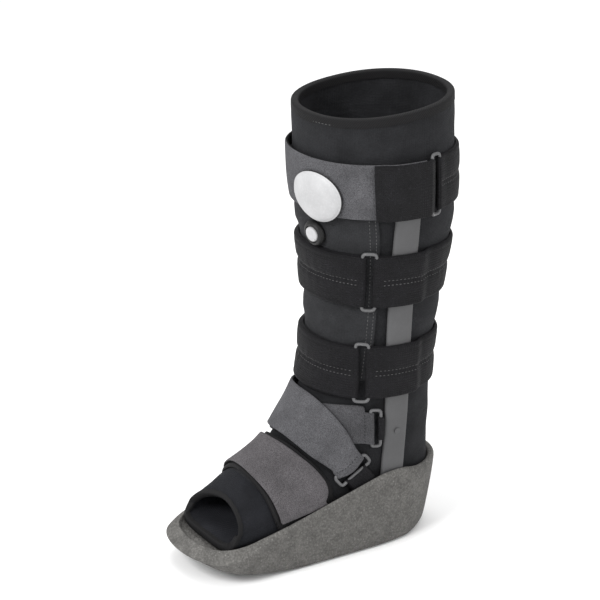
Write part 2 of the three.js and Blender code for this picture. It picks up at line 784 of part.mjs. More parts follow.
// Ankle and forefoot straps lie on the liner between two edges, each a row of places.
// Columns are worked out on a smooth curve through the rows.
function smoothRows(rows, steps) {
  const keys = Object.keys(rows[0]);
  const at = (i, key) => rows[Math.min(rows.length - 1, Math.max(0, i))][key];
  const out = [];
  for (let n = 0; n <= steps; n++) {
    const place = (n / steps) * (rows.length - 1);
    const i = Math.min(rows.length - 2, Math.floor(place));
    const t = place - i;
    const row = {};
    for (const key of keys) {
      const [a, b, c, d] = [at(i - 1, key), at(i, key), at(i + 1, key), at(i + 2, key)];
      row[key] = 0.5 * (2 * b + (c - a) * t + (2 * a - 5 * b + 4 * c - d) * t * t +
        (3 * b - a - 3 * c + d) * t ** 3);
    }
    out.push(row);
  }
  return out;
}

function footColumns(rows, steps, base, thickness) {
  return smoothRows(rows, steps).map((row) => ({
    lower: { station: row.front, angle: (row.frontTurn ?? row.turn) * degree },
    upper: { station: row.rear, angle: (row.rearTurn ?? row.turn) * degree },
    base: () => base,
    thickness,
    full: 1,
  }));
}

// turn: degrees from the front; rear and front: stations of the strap's two edges.
const padRows = [
  { turn: -97, rear: 12.9, front: 14.8 },
  { turn: -80, rear: 12.3, front: 14.8 },
  { turn: -50, rear: 11.35, front: 14.75 },
  { turn: -20, rear: 10.75, front: 14.5 },
  { turn: 5, rear: 10.55, front: 14.45 },
  { turn: 24, rear: 10.6, front: 14.5 },
  { turn: 45, rear: 11.25, front: 14.65 },
  { turn: 72, rear: 12.4, front: 14.85 },
  { turn: 97, rear: 13.2, front: 14.92 },
];
const forefootRows = [
  { turn: -91, rear: 13.0, front: 14.65 },
  { turn: -78, rear: 12.5, front: 14.65 },
  { turn: -50, rear: 11.75, front: 14.55 },
  { turn: -20, rear: 11.15, front: 14.3 },
  { turn: 5, rear: 10.95, front: 14.25 },
  { turn: 24, rear: 11.0, front: 14.35 },
  { turn: 45, rear: 11.6, front: 14.5 },
  { turn: 72, rear: 12.65, front: 14.72 },
  { turn: 91, rear: 13.35, front: 14.8 },
];

// The rows moved out at the strap's edges and ends, for the pocket that a piece needs.
function grownRows(rows, grow) {
  const stationLength = 14;
  const turn = grow * 2.5;
  return rows.map((row, i) => ({
    turn: row.turn + (i === 0 ? -turn : 0) + (i === rows.length - 1 ? turn : 0),
    rear: row.rear - grow / stationLength,
    front: row.front + grow / stationLength,
  }));
}

function makePad(grow = 0) {
  const rows = grownRows(padRows, grow);
  return strapSolid(footColumns(rows, 16, clothGap - grow, padThickness + 2 * grow), curved);
}

function makeForefootStrap(grow = 0) {
  const seat = clothGap + padThickness + clothGap;
  const rows = grownRows(forefootRows, grow);
  return strapSolid(footColumns(rows, 16, seat - grow, forefootThickness + 2 * grow), curved);
}

// Rings beside the ankle, placed by the two ends of each bar in the side view. y is a share of
// the toe's reach and z of the ankle's height.
const highRing = ringPlaces({
  front: [{ y: -0.162, z: 0.675 }, { y: -0.1675, z: 0.902 }],
  rear: [{ y: -0.1125, z: 0.669 }, { y: -0.1155, z: 0.896 }],
});
const lowRing = ringPlaces({
  front: [{ y: -0.3625, z: 0.497 }, { y: -0.198, z: 0.632 }],
  rear: [{ y: -0.324, z: 0.442 }, { y: -0.162, z: 0.577 }],
});
const ankleBars = 3.1; // middle of a bar above the liner

function ringPlaces(shares) {
  const scaled = (ends) => ends.map(({ y, z }) => ({ y: y * toeReach, z: z * ankleHeight }));
  return { front: scaled(shares.front), rear: scaled(shares.rear) };
}

function makeAnkleRing(ring, grow = 0) {
  const corners = [ring.front[0], ring.rear[0], ring.rear[1], ring.front[1]];
  const path = ringPath(corners.map(({ y, z }) => new THREE.Vector3(0, y, z)));
  const seated = path.map(({ y, z }) => {
    const place = placeAt(y, z);
    return onLiner(place.station, place.angle, clothGap + ankleBars);
  });
  return ringSolid(seated, ringWire + 2 * grow);
}

// A point beyond one end of a bar, moved by shares of the ring's span and the bar's length.
function nearBar(ring, bar, along, beyond) {
  const [a, b] = ring[bar];
  const other = ring[bar === "front" ? "rear" : "front"];
  const middle = { y: (a.y + b.y) / 2, z: (a.z + b.z) / 2 };
  const otherMiddle = { y: (other[0].y + other[1].y) / 2, z: (other[0].z + other[1].z) / 2 };
  const away = new THREE.Vector2(middle.y - otherMiddle.y, middle.z - otherMiddle.z).normalize();
  return {
    y: mix(a.y, b.y, along) + away.x * beyond,
    z: mix(a.z, b.z, along) + away.y * beyond,
  };
}

// turn and station of the two edges where an ankle strap leaves its ring's bar, then across
// the instep to the medial side.
const highRows = [
  { rearTurn: 60, rear: 7.35, frontTurn: 62, front: 9.15 },
  { rearTurn: 40, rear: 7.45, frontTurn: 40, front: 9.6 },
  { rearTurn: 18, rear: 7.7, frontTurn: 18, front: 9.95 },
  { rearTurn: -5, rear: 8.2, frontTurn: -5, front: 10.2 },
  { rearTurn: -30, rear: 8.9, frontTurn: -30, front: 10.5 },
  { rearTurn: -55, rear: 9.6, frontTurn: -55, front: 10.9 },
  { rearTurn: -76, rear: 10.1, frontTurn: -76, front: 11.2 },
];
const lowRows = [
  { rearTurn: 60, rear: 8.65, frontTurn: 60, front: 11.35 },
  { rearTurn: 45, rear: 8.05, frontTurn: 45, front: 10.95 },
  { rearTurn: 30, rear: 7.65, frontTurn: 28, front: 10.45 },
  { rearTurn: 12, rear: 7.4, frontTurn: 12, front: 10.2 },
  { rearTurn: -10, rear: 7.35, frontTurn: -10, front: 10.2 },
  { rearTurn: -40, rear: 7.4, frontTurn: -40, front: 10.1 },
  { rearTurn: -64, rear: 7.45, frontTurn: -66, front: 9.75 },
  { rearTurn: -78, rear: 7.5, frontTurn: -82, front: 9.4 },
];

function makeAnkleStrap(ring, rows, seat) {
  const place = (along, beyond) => {
    const { y, z } = nearBar(ring, "front", along, beyond);
    return placeAt(y, z);
  };
  const inset = 0.06; // of the bar's length, between the strap's edges and the ring's corners
  const endColumn = (beyond, full) => ({
    lower: place(inset, beyond),
    upper: place(1 - inset, beyond),
    base: () => clothGap,
    thickness: noseThickness,
    full,
  });
  const nose = noseColumns.slice().reverse().map(({ inset: back, full }) =>
    endColumn((back - 1) * (noseThickness / 2), full));
  const fold = { ...endColumn(noseThickness, 1), base: () => seat };
  const rest = footColumns(rows, 14, seat, ankleThickness);
  return strapSolid([...nose, fold, ...rest], curved);
}

// Links of webbing that hold the ankle rings' free bars.
function makeLink(ring, from, to, reach, grow = 0) {
  const barLength = Math.hypot(ring.rear[1].y - ring.rear[0].y, ring.rear[1].z - ring.rear[0].z);
  const place = (along, beyond) => {
    const { y, z } = nearBar(ring, "rear", along, beyond);
    return placeAt(y, z);
  };
  const column = (beyond, full) => ({
    lower: place(from - grow / barLength, beyond),
    upper: place(to + grow / barLength, beyond),
    base: () => clothGap - grow,
    thickness: noseThickness + 2 * grow,
    full,
  });
  const nose = noseColumns.slice().reverse().map(({ inset: back, full }) =>
    column((back - 1) * (noseThickness / 2), full));
  return strapSolid([...nose, column(reach + grow, 1)], level);
}

// Materials
const rubber = new THREE.MeshStandardMaterial({ color: 0x6f6c69, roughness: 0.9, metalness: 0 });
const foamCloth = new THREE.MeshStandardMaterial({ color: 0x2c2c31, roughness: 0.95, metalness: 0 });
const blackLoop = new THREE.MeshStandardMaterial({ color: 0x1c1c20, roughness: 0.95, metalness: 0 });
const greyLoop = new THREE.MeshStandardMaterial({ color: 0x66666c, roughness: 0.9, metalness: 0 });
const greyPlastic = new THREE.MeshStandardMaterial({ color: 0x66676a, roughness: 0.6, metalness: 0 });
const blackPlastic = new THREE.MeshStandardMaterial({ color: 0x151517, roughness: 0.5, metalness: 0 });
const whiteRubber = new THREE.MeshStandardMaterial({ color: 0xe4e4e8, roughness: 0.5, metalness: 0 });

const boot = new THREE.Group();
function add(name, geometry, material) {
  const mesh = new THREE.Mesh(geometry, material);
  mesh.name = name;
  boot.add(mesh);
}

const rivetPlace = 122;
const lowLinkReach = 15;
const highLinkReach = 2.6;

add("liner", makeLiner(), foamCloth);
add("front_panel", makePanel(), foamCloth);
add("upright_lateral", makeUpright(1), greyPlastic);
add("upright_medial", makeUpright(-1), greyPlastic);
add("rivet_lateral", makeRivet(1, rivetPlace), greyPlastic);
add("rivet_medial", makeRivet(-1, rivetPlace), greyPlastic);
add(
  "sole_shell",
  makeSole([
    linerEnvelope(clearance),
    makeUpright(1, clearance),
    makeUpright(-1, clearance),
    makePad(clearance),
    makeForefootStrap(clearance),
    makeLink(lowRing, 0.14, 0.86, lowLinkReach, clearance),
  ]),
  rubber,
);
add("forefoot_pad", makePad(), foamCloth);
add("forefoot_strap", makeForefootStrap(), greyLoop);
add("high_ankle_ring", makeAnkleRing(highRing), greyPlastic);
add("low_ankle_ring", makeAnkleRing(lowRing), greyPlastic);
add(
  "high_ankle_strap",
  cut(makeAnkleStrap(highRing, highRows, clothGap), makeAnkleRing(highRing, clearance)),
  greyLoop,
);
const lowSeat = clothGap + ankleThickness + 1.5 * clothGap;
add(
  "low_ankle_strap",
  cut(makeAnkleStrap(lowRing, lowRows, lowSeat), makeAnkleRing(lowRing, clearance)),
  greyLoop,
);
add(
  "high_ankle_link",
  cut(makeLink(highRing, 0.16, 0.84, highLinkReach), makeAnkleRing(highRing, clearance)),
  blackLoop,
);
add(
  "low_ankle_link",
  cut(makeLink(lowRing, 0.14, 0.86, lowLinkReach), makeAnkleRing(lowRing, clearance)),
  blackLoop,
);
const ringBar = ringAngle * degree;
const loopStraps = {
  lower: { bar: ringBar, top: lowerStrapTop, lean: lowerLean * degree, thickness: bandThickness },
  middle: { bar: ringBar, top: middleStrapTop, lean: 0, thickness: bandThickness },
};
Object.entries(loopStraps).forEach(([name, strap]) => {
  add(`${name}_strap`, cut(makeLoopStrap(strap), makeShaftRing(strap, clearance)), blackLoop);
  add(`${name}_ring`, makeShaftRing(strap), greyPlastic);
});
const topRing = { bar: topRingAngle * degree, top: topStrapTop, lean: 0, thickness: noseThickness };
add("top_strap_front", makeTopFront(), greyLoop);
add("top_strap_tab", cut(makeTopTab(), makeShaftRing(topRing, clearance)), blackLoop);
add("top_strap_side", cut(makeTopSide(), makeShaftRing(topRing, clearance)), blackLoop);
add("top_ring", makeShaftRing(topRing), greyPlastic);
add("pump_bulb", makeBulb(), whiteRubber);
add("valve_housing", makeValveHousing(), blackPlastic);
add("valve_button", makeValveButton(), whiteRubber);

export default boot;
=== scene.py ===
# %% [markdown]
# # A tall walking boot for a mending ankle
# A walking boot holds the lower leg still while its owner walks. It has a curved rubber sole,
# a padded liner with open toes, two stiff side bars and a set of straps. This lesson dresses
# the solid model of the boot with pieces that are modelled one by one: first the studio,
# then the materials, then the liner that everything else lies on.

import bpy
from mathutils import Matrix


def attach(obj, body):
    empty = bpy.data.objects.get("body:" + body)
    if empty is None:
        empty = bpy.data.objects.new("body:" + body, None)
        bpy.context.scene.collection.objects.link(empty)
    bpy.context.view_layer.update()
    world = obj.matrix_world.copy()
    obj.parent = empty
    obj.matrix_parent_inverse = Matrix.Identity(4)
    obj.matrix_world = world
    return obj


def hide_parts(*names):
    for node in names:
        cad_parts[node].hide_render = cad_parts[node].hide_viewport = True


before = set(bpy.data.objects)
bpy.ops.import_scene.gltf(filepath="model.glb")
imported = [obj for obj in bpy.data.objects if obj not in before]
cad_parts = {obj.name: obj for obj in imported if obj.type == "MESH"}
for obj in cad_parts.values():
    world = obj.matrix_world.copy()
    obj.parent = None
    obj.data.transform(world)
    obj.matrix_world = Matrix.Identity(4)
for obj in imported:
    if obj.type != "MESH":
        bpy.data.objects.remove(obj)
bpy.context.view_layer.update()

# %% [markdown]
# ## Tools
# Blender's own operators build the pieces, numpy moves their points, and a tree of faces tells
# where a ray meets a surface. Lengths are written in millimetres and angles in degrees, as the
# maker of a boot would give them.

# %% Tools of the lesson
import math
import bpy
import numpy as np
from mathutils import Vector
from mathutils.bvhtree import BVHTree

MM = 0.001
DEGREE = math.pi / 180
TURN = 2 * math.pi
print("one millimetre is", MM, "of Blender's units")

# %% [markdown]
# ## Camera
# The camera stands a little above the boot, outside the toes, with a long lens, so that the
# shaft's two edges stay nearly parallel. Its aim is found from the place of the shaft's middle
# in the picture. Turning the camera to that aim was chosen over shifting the lens, because a
# turned camera stays right when it is moved to other sides.

# %% Camera
AZIMUTH, ELEVATION = 57 * DEGREE, 21 * DEGREE
DISTANCE, LENS, SENSOR = 2.2, 138.0, 36
PICTURE_WIDTH = 600
# How far the shaft's middle stands from the picture's, in pixels
SHAFT_RIGHT, SHAFT_DOWN = 68, 18
shaft_middle = Vector((0, 0, 0.215))
backward = Vector((
    math.sin(AZIMUTH) * math.cos(ELEVATION),
    -math.cos(AZIMUTH) * math.cos(ELEVATION),
    math.sin(ELEVATION),
))
rightward = Vector((math.cos(AZIMUTH), math.sin(AZIMUTH), 0))
upward = backward.cross(rightward)
metres_a_pixel = DISTANCE * SENSOR / LENS / PICTURE_WIDTH
aim = shaft_middle - rightward * SHAFT_RIGHT * metres_a_pixel + upward * SHAFT_DOWN * metres_a_pixel
bpy.ops.object.camera_add(location=shaft_middle + backward * DISTANCE)
camera = bpy.context.object
camera.name = "camera"
camera.data.lens = LENS
camera.data.sensor_width = SENSOR
camera.data.clip_end = 20
camera.rotation_euler = (aim - camera.location).to_track_quat("-Z", "Y").to_euler()
bpy.context.scene.camera = camera
print("camera at", tuple(round(v, 3) for v in camera.location))

# %% [markdown]
# ## Floor and light
# A product picture of black cloth needs broad soft lights, or the folds drown. One large lamp
# in front shapes the boot, one beside it draws the edge of the sole, and one above lifts the
# strap edges. A pale sky fills the rest. The floor lies a hair below the sole, so that the two
# never share a plane.

# %% Floor and studio light
FLOOR_SIZE, FLOOR_HEIGHT = 30, -0.5 * MM
LIGHTS = [
    dict(name="key_light", place=(0.6, -2.5, 2.3), size=1.3, power=92),
    dict(name="side_light", place=(2.6, 0.6, 1.5), size=1.8, power=30),
    dict(name="top_light", place=(-0.6, 0.4, 2.8), size=2.2, power=40),
]
LIT_PLACE = (0, 0, 0.2)
SKY = 0.8

bpy.ops.mesh.primitive_plane_add(size=FLOOR_SIZE, location=(0, 0, FLOOR_HEIGHT))
floor = bpy.context.object
floor.name = "floor"


def area_light(name, place, size, power):
    """A soft square light that looks at the boot."""
    bpy.ops.object.light_add(type="AREA", location=place)
    light = bpy.context.object
    light.name = name
    light.data.size = size
    light.data.energy = power
    light.rotation_euler = (Vector(LIT_PLACE) - Vector(place)).to_track_quat("-Z", "Y").to_euler()


for lamp in LIGHTS:
    area_light(**lamp)
world = bpy.data.worlds.new("studio")
bpy.context.scene.world = world
world.use_nodes = True
world.node_tree.nodes["Background"].inputs["Color"].default_value = (1, 1, 1, 1)
world.node_tree.nodes["Background"].inputs["Strength"].default_value = SKY
bpy.context.scene.view_settings.view_transform = "Standard"
print(len(LIGHTS), "area lights and a pale sky")

# %% [markdown]
# ## Materials
# Every finish here is made of nodes. A small helper starts each material and gives short ways
# to work: add a node, join two sockets, make a pattern, mix two tones by it. The patterns
# read Object coordinates, in metres, so that grain has its real size; cloth that is cut in
# strips reads its own UV map, also in metres, so that the weave follows the strip.


# %% A helper for materials
class Finish:
    """A new material with its Principled shader, and short ways to add nodes to it."""

    def __init__(self, name, rough, specular=0.3):
        self.material = bpy.data.materials.new(name)
        self.material.use_nodes = True
        self.tree = self.material.node_tree
        self.shader = self.tree.nodes["Principled BSDF"]
        self.shader.inputs["Roughness"].default_value = rough
        self.shader.inputs["Specular IOR Level"].default_value = specular
        self.coordinates = self.add("ShaderNodeTexCoord")

    def add(self, kind, **values):
        node = self.tree.nodes.new(kind)
        for key, value in values.items():
            if key in node.inputs:
                node.inputs[key].default_value = value
            else:
                setattr(node, key, value)
        return node

    def join(self, source, target):
        self.tree.links.new(source, target)

    def noise(self, scale, detail=3.0, roughness=0.55):
        node = self.add("ShaderNodeTexNoise")
        node.inputs["Scale"].default_value = scale
        node.inputs["Detail"].default_value = detail
        node.inputs["Roughness"].default_value = roughness
        self.join(self.coordinates.outputs["Object"], node.inputs["Vector"])
        return node.outputs["Fac"]

    def folds(self, scale, tall):
        """Noise drawn out round the leg, like the creases of cloth that is pressed together."""
        mapping = self.add("ShaderNodeMapping")
        mapping.inputs["Scale"].default_value = (1, 1, tall)
        node = self.add("ShaderNodeTexNoise")
        node.inputs["Scale"].default_value = scale
        node.inputs["Detail"].default_value = 2.0
        node.inputs["Distortion"].default_value = 0.8
        self.join(self.coordinates.outputs["Object"], mapping.inputs["Vector"])
        self.join(mapping.outputs["Vector"], node.inputs["Vector"])
        return node.outputs["Fac"]

    def grains(self, scale):
        """Small cells, dark in the middle and pale at their borders."""
        node = self.add("ShaderNodeTexVoronoi")
        node.inputs["Scale"].default_value = scale
        self.join(self.coordinates.outputs["Object"], node.inputs["Vector"])
        return node.outputs["Distance"]

    def wave(self, scale, direction, distortion):
        """Fine ridges along or across a strip, on its own flat pattern."""
        node = self.add("ShaderNodeTexWave", bands_direction=direction)
        node.inputs["Scale"].default_value = scale
        node.inputs["Distortion"].default_value = distortion
        node.inputs["Detail"].default_value = 1.0
        node.inputs["Detail Scale"].default_value = 1.5
        self.join(self.coordinates.outputs["UV"], node.inputs["Vector"])
        return node.outputs["Fac"]

    def crossed(self, first, second):
        """Two sets of ridges multiplied into a weave."""
        node = self.add("ShaderNodeMath", operation="MULTIPLY")
        self.join(first, node.inputs[0])
        self.join(second, node.inputs[1])
        return node.outputs["Value"]

    def ramp(self, source, *stops):
        """A colour from a value; each stop is (place, colour)."""
        node = self.add("ShaderNodeValToRGB")
        ramp = node.color_ramp
        while len(ramp.elements) < len(stops):
            ramp.elements.new(0.5)
        for element, (place, colour) in zip(ramp.elements, stops):
            element.position = place
            element.color = (*colour, 1)
        self.join(source, node.inputs["Fac"])
        return node.outputs["Color"]

    def range(self, source, low, high, to_low, to_high):
        """The source's span from low to high, spread over another span."""
        node = self.add("ShaderNodeMapRange")
        spans = {"From Min": low, "From Max": high, "To Min": to_low, "To Max": to_high}
        for key, value in spans.items():
            node.inputs[key].default_value = value
        self.join(source, node.inputs["Value"])
        return node.outputs["Result"]

    def mix(self, factor, first, second):
        """One colour or another; the Mix node's colour sockets are numbers 6 and 7."""
        node = self.add("ShaderNodeMix", data_type="RGBA")
        self.join(factor, node.inputs[0])
        for socket, value in ((node.inputs[6], first), (node.inputs[7], second)):
            if isinstance(value, tuple):
                socket.default_value = (*value, 1)
            else:
                self.join(value, socket)
        return node.outputs[2]

    def colour(self, source):
        self.join(source, self.shader.inputs["Base Color"])

    def roughness(self, source, low, high):
        self.join(self.range(source, 0, 1, low, high), self.shader.inputs["Roughness"])

    def bump(self, *layers):
        """Heights in metres; each layer is (source, height)."""
        before = None
        for source, height in layers:
            node = self.add("ShaderNodeBump")
            node.inputs["Distance"].default_value = height
            self.join(source, node.inputs["Height"])
            if before is not None:
                self.join(before.outputs["Normal"], node.inputs["Normal"])
            before = node
        self.join(before.outputs["Normal"], self.shader.inputs["Normal"])


# How much brighter than itself a surface comes out in this light
LIGHT_GAIN = 2.0


def shade(value, tint=(1.0, 1.0, 1.0)):
    """The colour of a surface that should come out as a screen grey of 0 to 255 in this light."""
    level = ((value / 255 + 0.055) / 1.055) ** 2.4 / LIGHT_GAIN
    return tuple(level * t for t in tint)


print("a mid grey here is", shade(128))

# %% [markdown]
# The sole is a soft rubber skin with a fine pebble and a faint speckle. Small Voronoi cells
# make the pebble; two noises, one coarse and one fine, make the mottling and the pale speckle.

# %% Sole rubber
WARM_GREY, PIT_GREY, SPECK_GREY = (1.03, 1.0, 0.95), (1.04, 1.0, 0.95), (1.02, 1.0, 0.95)
sole = Finish("sole_rubber", 0.85, 0.2)
mottle = sole.noise(70, 5, 0.65)
pebble = sole.grains(430)
speckle = sole.noise(520, 3, 0.7)
warm = sole.ramp(mottle, (0.32, shade(112, WARM_GREY)), (0.68, shade(142, WARM_GREY)))
pitted = sole.mix(sole.range(pebble, 0.2, 0.8, 0.0, 0.55), warm, shade(84, PIT_GREY))
sole.colour(sole.mix(sole.range(speckle, 0.56, 0.72, 0.0, 0.7), pitted, shade(176, SPECK_GREY)))
sole.roughness(mottle, 0.72, 0.95)
sole.bump((sole.noise(45, 2), 0.0012), (pebble, 0.0009), (speckle, 0.0005))
print("sole rubber ready")

# %% [markdown]
# The liner is foam between two knitted cloths. The knit shows as a very fine, even rib with a
# soft fuzz on top. Sheen on the shader stands for the fuzz. The tape that binds the cut edges
# is a plain twill.

# %% Liner knit, lining and binding
def knit(name, value, tint, fuzz=0.06):
    cloth = Finish(name, 0.9, 0.14)
    tone = cloth.noise(38, 4)
    fleck = cloth.noise(700, 3, 0.7)
    deep = cloth.ramp(tone, (0.28, shade(value * 0.8, tint)), (0.72, shade(value * 1.18, tint)))
    cloth.colour(cloth.mix(cloth.range(fleck, 0.35, 0.7, 0.0, 0.45), deep, shade(value * 0.5, tint)))
    cloth.shader.inputs["Sheen Weight"].default_value = fuzz
    cloth.shader.inputs["Sheen Roughness"].default_value = 0.5
    cloth.shader.inputs["Sheen Tint"].default_value = (*shade(190, tint), 1)
    weave = cloth.crossed(cloth.wave(190, "X", 0.6), cloth.wave(230, "Y", 0.6))
    cloth.bump((cloth.folds(11, 3.0), 0.006), (tone, 0.0018), (weave, 0.0004), (fleck, 0.0004))
    return cloth.material


liner_knit = knit("liner_knit", 50, (0.98, 1.0, 1.1))
panel_knit = knit("panel_knit", 58, (0.98, 1.0, 1.08))
toe_knit = knit("toe_knit", 40, (0.95, 1.0, 1.22))
lining_knit = knit("lining_knit", 34, (1.3, 0.95, 0.9), 0.02)
# Near-black knit for the felts' cut edges: their dark foam, and painted shade for the dark line along each
# strap's edge
foam_and_shade_edge = knit("foam_and_shade_edge", 22, (1.0, 1.0, 1.05), 0.0)


def bound_tape(name, value, tint):
    tape = Finish(name, 0.75, 0.18)
    twill = tape.wave(260, "DIAGONAL", 0.3)
    tone = tape.noise(60, 3)
    tape.colour(tape.mix(twill, shade(value * 0.6, tint), shade(value * 1.2, tint)))
    tape.bump((twill, 0.0002), (tone, 0.0008))
    return tape.material


black_tape = bound_tape("black_tape", 30, (1.0, 0.97, 1.06))
print("knits and tape ready")

# %% [markdown]
# Grey straps are brushed loop felt: tiny loops that catch hooks. There is no clear weave, only
# a matt fuzz with darker pits between the loops and soft rubbed patches.

# %% Grey loop felt
def felt(name, value, tint):
    cloth = Finish(name, 0.97, 0.1)
    patch = cloth.noise(45, 4, 0.6)
    loops = cloth.grains(950)
    fibres = cloth.noise(1600, 3, 0.7)
    base = cloth.ramp(patch, (0.3, shade(value * 0.86, tint)), (0.72, shade(value * 1.12, tint)))
    pitted = cloth.mix(cloth.range(loops, 0.2, 0.75, 0.0, 0.6), base, shade(value * 0.55, tint))
    cloth.colour(cloth.mix(cloth.range(fibres, 0.52, 0.78, 0.0, 0.55), pitted, shade(value * 1.35, tint)))
    cloth.shader.inputs["Sheen Weight"].default_value = 0.12
    cloth.shader.inputs["Sheen Roughness"].default_value = 0.5
    cloth.shader.inputs["Sheen Tint"].default_value = (*shade(220, tint), 1)
    cloth.bump((cloth.folds(14, 1.0), 0.003), (patch, 0.0016), (loops, 0.0008), (fibres, 0.0004))
    return cloth.material


grey_felt = felt("grey_felt", 122, (0.99, 0.985, 1.05))
dark_felt = felt("dark_felt", 106, (0.99, 0.985, 1.05))
warm_felt = felt("warm_felt", 121, (1.04, 0.98, 1.03))
print("felts ready")

# %% [markdown]
# Black straps are padded webbing: a plain weave with warp ridges along the strap. The weave
# runs on the strap's UV map. A few paler hairs keep the black from going flat, and the hollows
# between the threads get painted shade.

# %% Black webbing, stitching thread
def webbing(name, value, tint):
    cloth = Finish(name, 0.72, 0.17)
    warp = cloth.wave(150, "Y", 0.4)
    weft = cloth.wave(210, "X", 0.4)
    patch = cloth.noise(60, 4, 0.6)
    lint = cloth.noise(420, 4, 0.75)
    weave = cloth.crossed(warp, weft)
    base = cloth.ramp(patch, (0.3, shade(value * 0.75, tint)), (0.7, shade(value * 1.25, tint)))
    # Painted shade: the weave's hollows are mixed towards half the strap's tone
    weave_with_shade = cloth.mix(cloth.range(weave, 0.0, 1.0, 0.5, 0.0), base, shade(value * 0.5, tint))
    cloth.colour(cloth.mix(cloth.range(lint, 0.56, 0.75, 0.0, 0.6), weave_with_shade, shade(value * 2.2, tint)))
    cloth.bump((cloth.folds(22, 0.5), 0.003), (patch, 0.0018), (weave, 0.0006), (lint, 0.0005))
    return cloth.material


black_webbing = webbing("black_webbing", 28, (1.0, 0.96, 1.18))
tab_webbing = webbing("tab_webbing", 30, (1.0, 0.97, 1.14))
thread_finish = Finish("thread", 0.7, 0.3)
thread_finish.colour(thread_finish.ramp(thread_finish.noise(800), (0.3, shade(84)), (0.7, shade(120))))
thread_finish.bump((thread_finish.noise(2500), 0.0001))
thread = thread_finish.material
dark_thread = bound_tape("dark_thread", 50, (1.0, 0.98, 1.05))
print("webbings and thread ready")

# %% [markdown]
# The side bars, rings and valve are moulded plastic. Moulded parts have a fine spark-eroded
# grain, a little flow variation and a few pale specks of dust.

# %% Moulded plastics and the white rubber disc
def moulded(name, value, tint, rough, grain=0.00018):
    plastic = Finish(name, rough, 0.35)
    flow = plastic.noise(30, 3)
    dust = plastic.noise(500, 4, 0.7)
    base = plastic.ramp(flow, (0.3, shade(value * 0.94, tint)), (0.7, shade(value * 1.06, tint)))
    plastic.colour(plastic.mix(plastic.range(dust, 0.5, 0.75, 0.0, 0.3), base, shade(value * 1.22, tint)))
    plastic.roughness(dust, rough - 0.08, rough + 0.12)
    plastic.bump((plastic.noise(1900, 2), grain))
    return plastic.material


bar_plastic = moulded("bar_plastic", 100, (1.0, 1.0, 1.03), 0.6)
ring_plastic = moulded("ring_plastic", 112, (1.0, 1.0, 1.03), 0.32)
valve_plastic = moulded("valve_plastic", 14, (1.0, 1.0, 1.02), 0.5)
disc_rubber = moulded("disc_rubber", 224, (0.985, 0.985, 1.0), 0.42, 0.00006)
print("plastics ready")

# %% [markdown]
# ## The liner's form
# The liner is a padded tube that turns the corner from leg to foot. It is described by slanted
# sections that fan round the ankle, each through one point at the front and one at the back of
# the side view. All straps, pads and bars lie on this form, so a place on it is named by two
# numbers: the station, which counts the sections from the top, and the angle, which runs from
# the front over the outer side to the back.

# %% Sizes of the liner
RIM_HEIGHT, RIM_RISE = 430 * MM, 13 * MM
CALF_WIDTH, CALF_FRONT, CALF_BACK = 149 * MM, 72 * MM, 77 * MM
ANKLE_HEIGHT, FOOT_WIDTH = 163 * MM, 100 * MM
TOE_REACH, HEEL_REACH = 182 * MM, 58 * MM
LINER_WALL, BED_HEIGHT = 6 * MM, 27.6 * MM

# rise: share of the shaft's height; front, back and width: shares of the calf's;
# lift: share of the rim's rise at the back; arch: squareness
SHAFT_SECTIONS = [
    dict(rise=1.0, front=0.98, back=0.98, width=0.98, lift=1, arch=2.2),
    dict(rise=0.86, front=0.97, back=1.0, width=0.98, lift=0.7, arch=2.2),
    dict(rise=0.72, front=0.94, back=1.02, width=0.975, lift=0.3, arch=2.2),
    dict(rise=0.58, front=0.85, back=1.0, width=0.93, lift=0, arch=2.2),
    dict(rise=0.41, front=0.77, back=0.9, width=0.85, lift=0, arch=2.2),
    dict(rise=0.24, front=0.765, back=0.83, width=0.8, lift=0, arch=2.2),
    dict(rise=0.09, front=0.8, back=0.765, width=0.765, lift=0, arch=2.2),
]
# front and back: shares of the toe's reach, or of the heel's where positive; top and low:
# shares of the ankle's height above the bed; width: share of the foot's width
FOOT_SECTIONS = [
    dict(front=-0.35, top=1.0, back=0.98, low=0.89, width=1.12, arch=2.1, sole=2.3),
    dict(front=-0.42, top=0.86, back=0.98, low=0.67, width=1.09, arch=2.0, sole=2.3),
    dict(front=-0.5, top=0.745, back=1.0, low=0.43, width=1.04, arch=1.95, sole=2.4),
    dict(front=-0.545, top=0.69, back=1.0, low=0.24, width=1.0, arch=1.9, sole=2.6),
    dict(front=-0.59, top=0.64, back=0.88, low=0.06, width=0.96, arch=1.85, sole=2.8),
    dict(front=-0.63, top=0.6, back=0.43, low=0.0, width=0.94, arch=1.8, sole=3.2),
    dict(front=-0.675, top=0.555, back=-0.1, low=0.0, width=0.95, arch=1.72, sole=3.6),
    dict(front=-0.75, top=0.485, back=-0.4, low=0.0, width=0.98, arch=1.68, sole=4),
    dict(front=-0.815, top=0.41, back=-0.7, low=0.0, width=1.0, arch=1.68, sole=4),
    dict(front=-0.88, top=0.28, back=-1.0, low=0.01, width=0.94, arch=1.7, sole=4),
]


print(len(SHAFT_SECTIONS), "sections of the shaft,", len(FOOT_SECTIONS), "of the foot")

# %% [markdown]
# ## Places on the liner
# Between two sections the form follows a smooth curve through their values, and round each
# section it is a squared oval. A place on the leg that is known by its height, or by where it
# stands in the side view, is turned into a station and an angle by halving the search 32 times.


# %% Places on the liner
HALVINGS = 32
ARC_STEP = 0.02


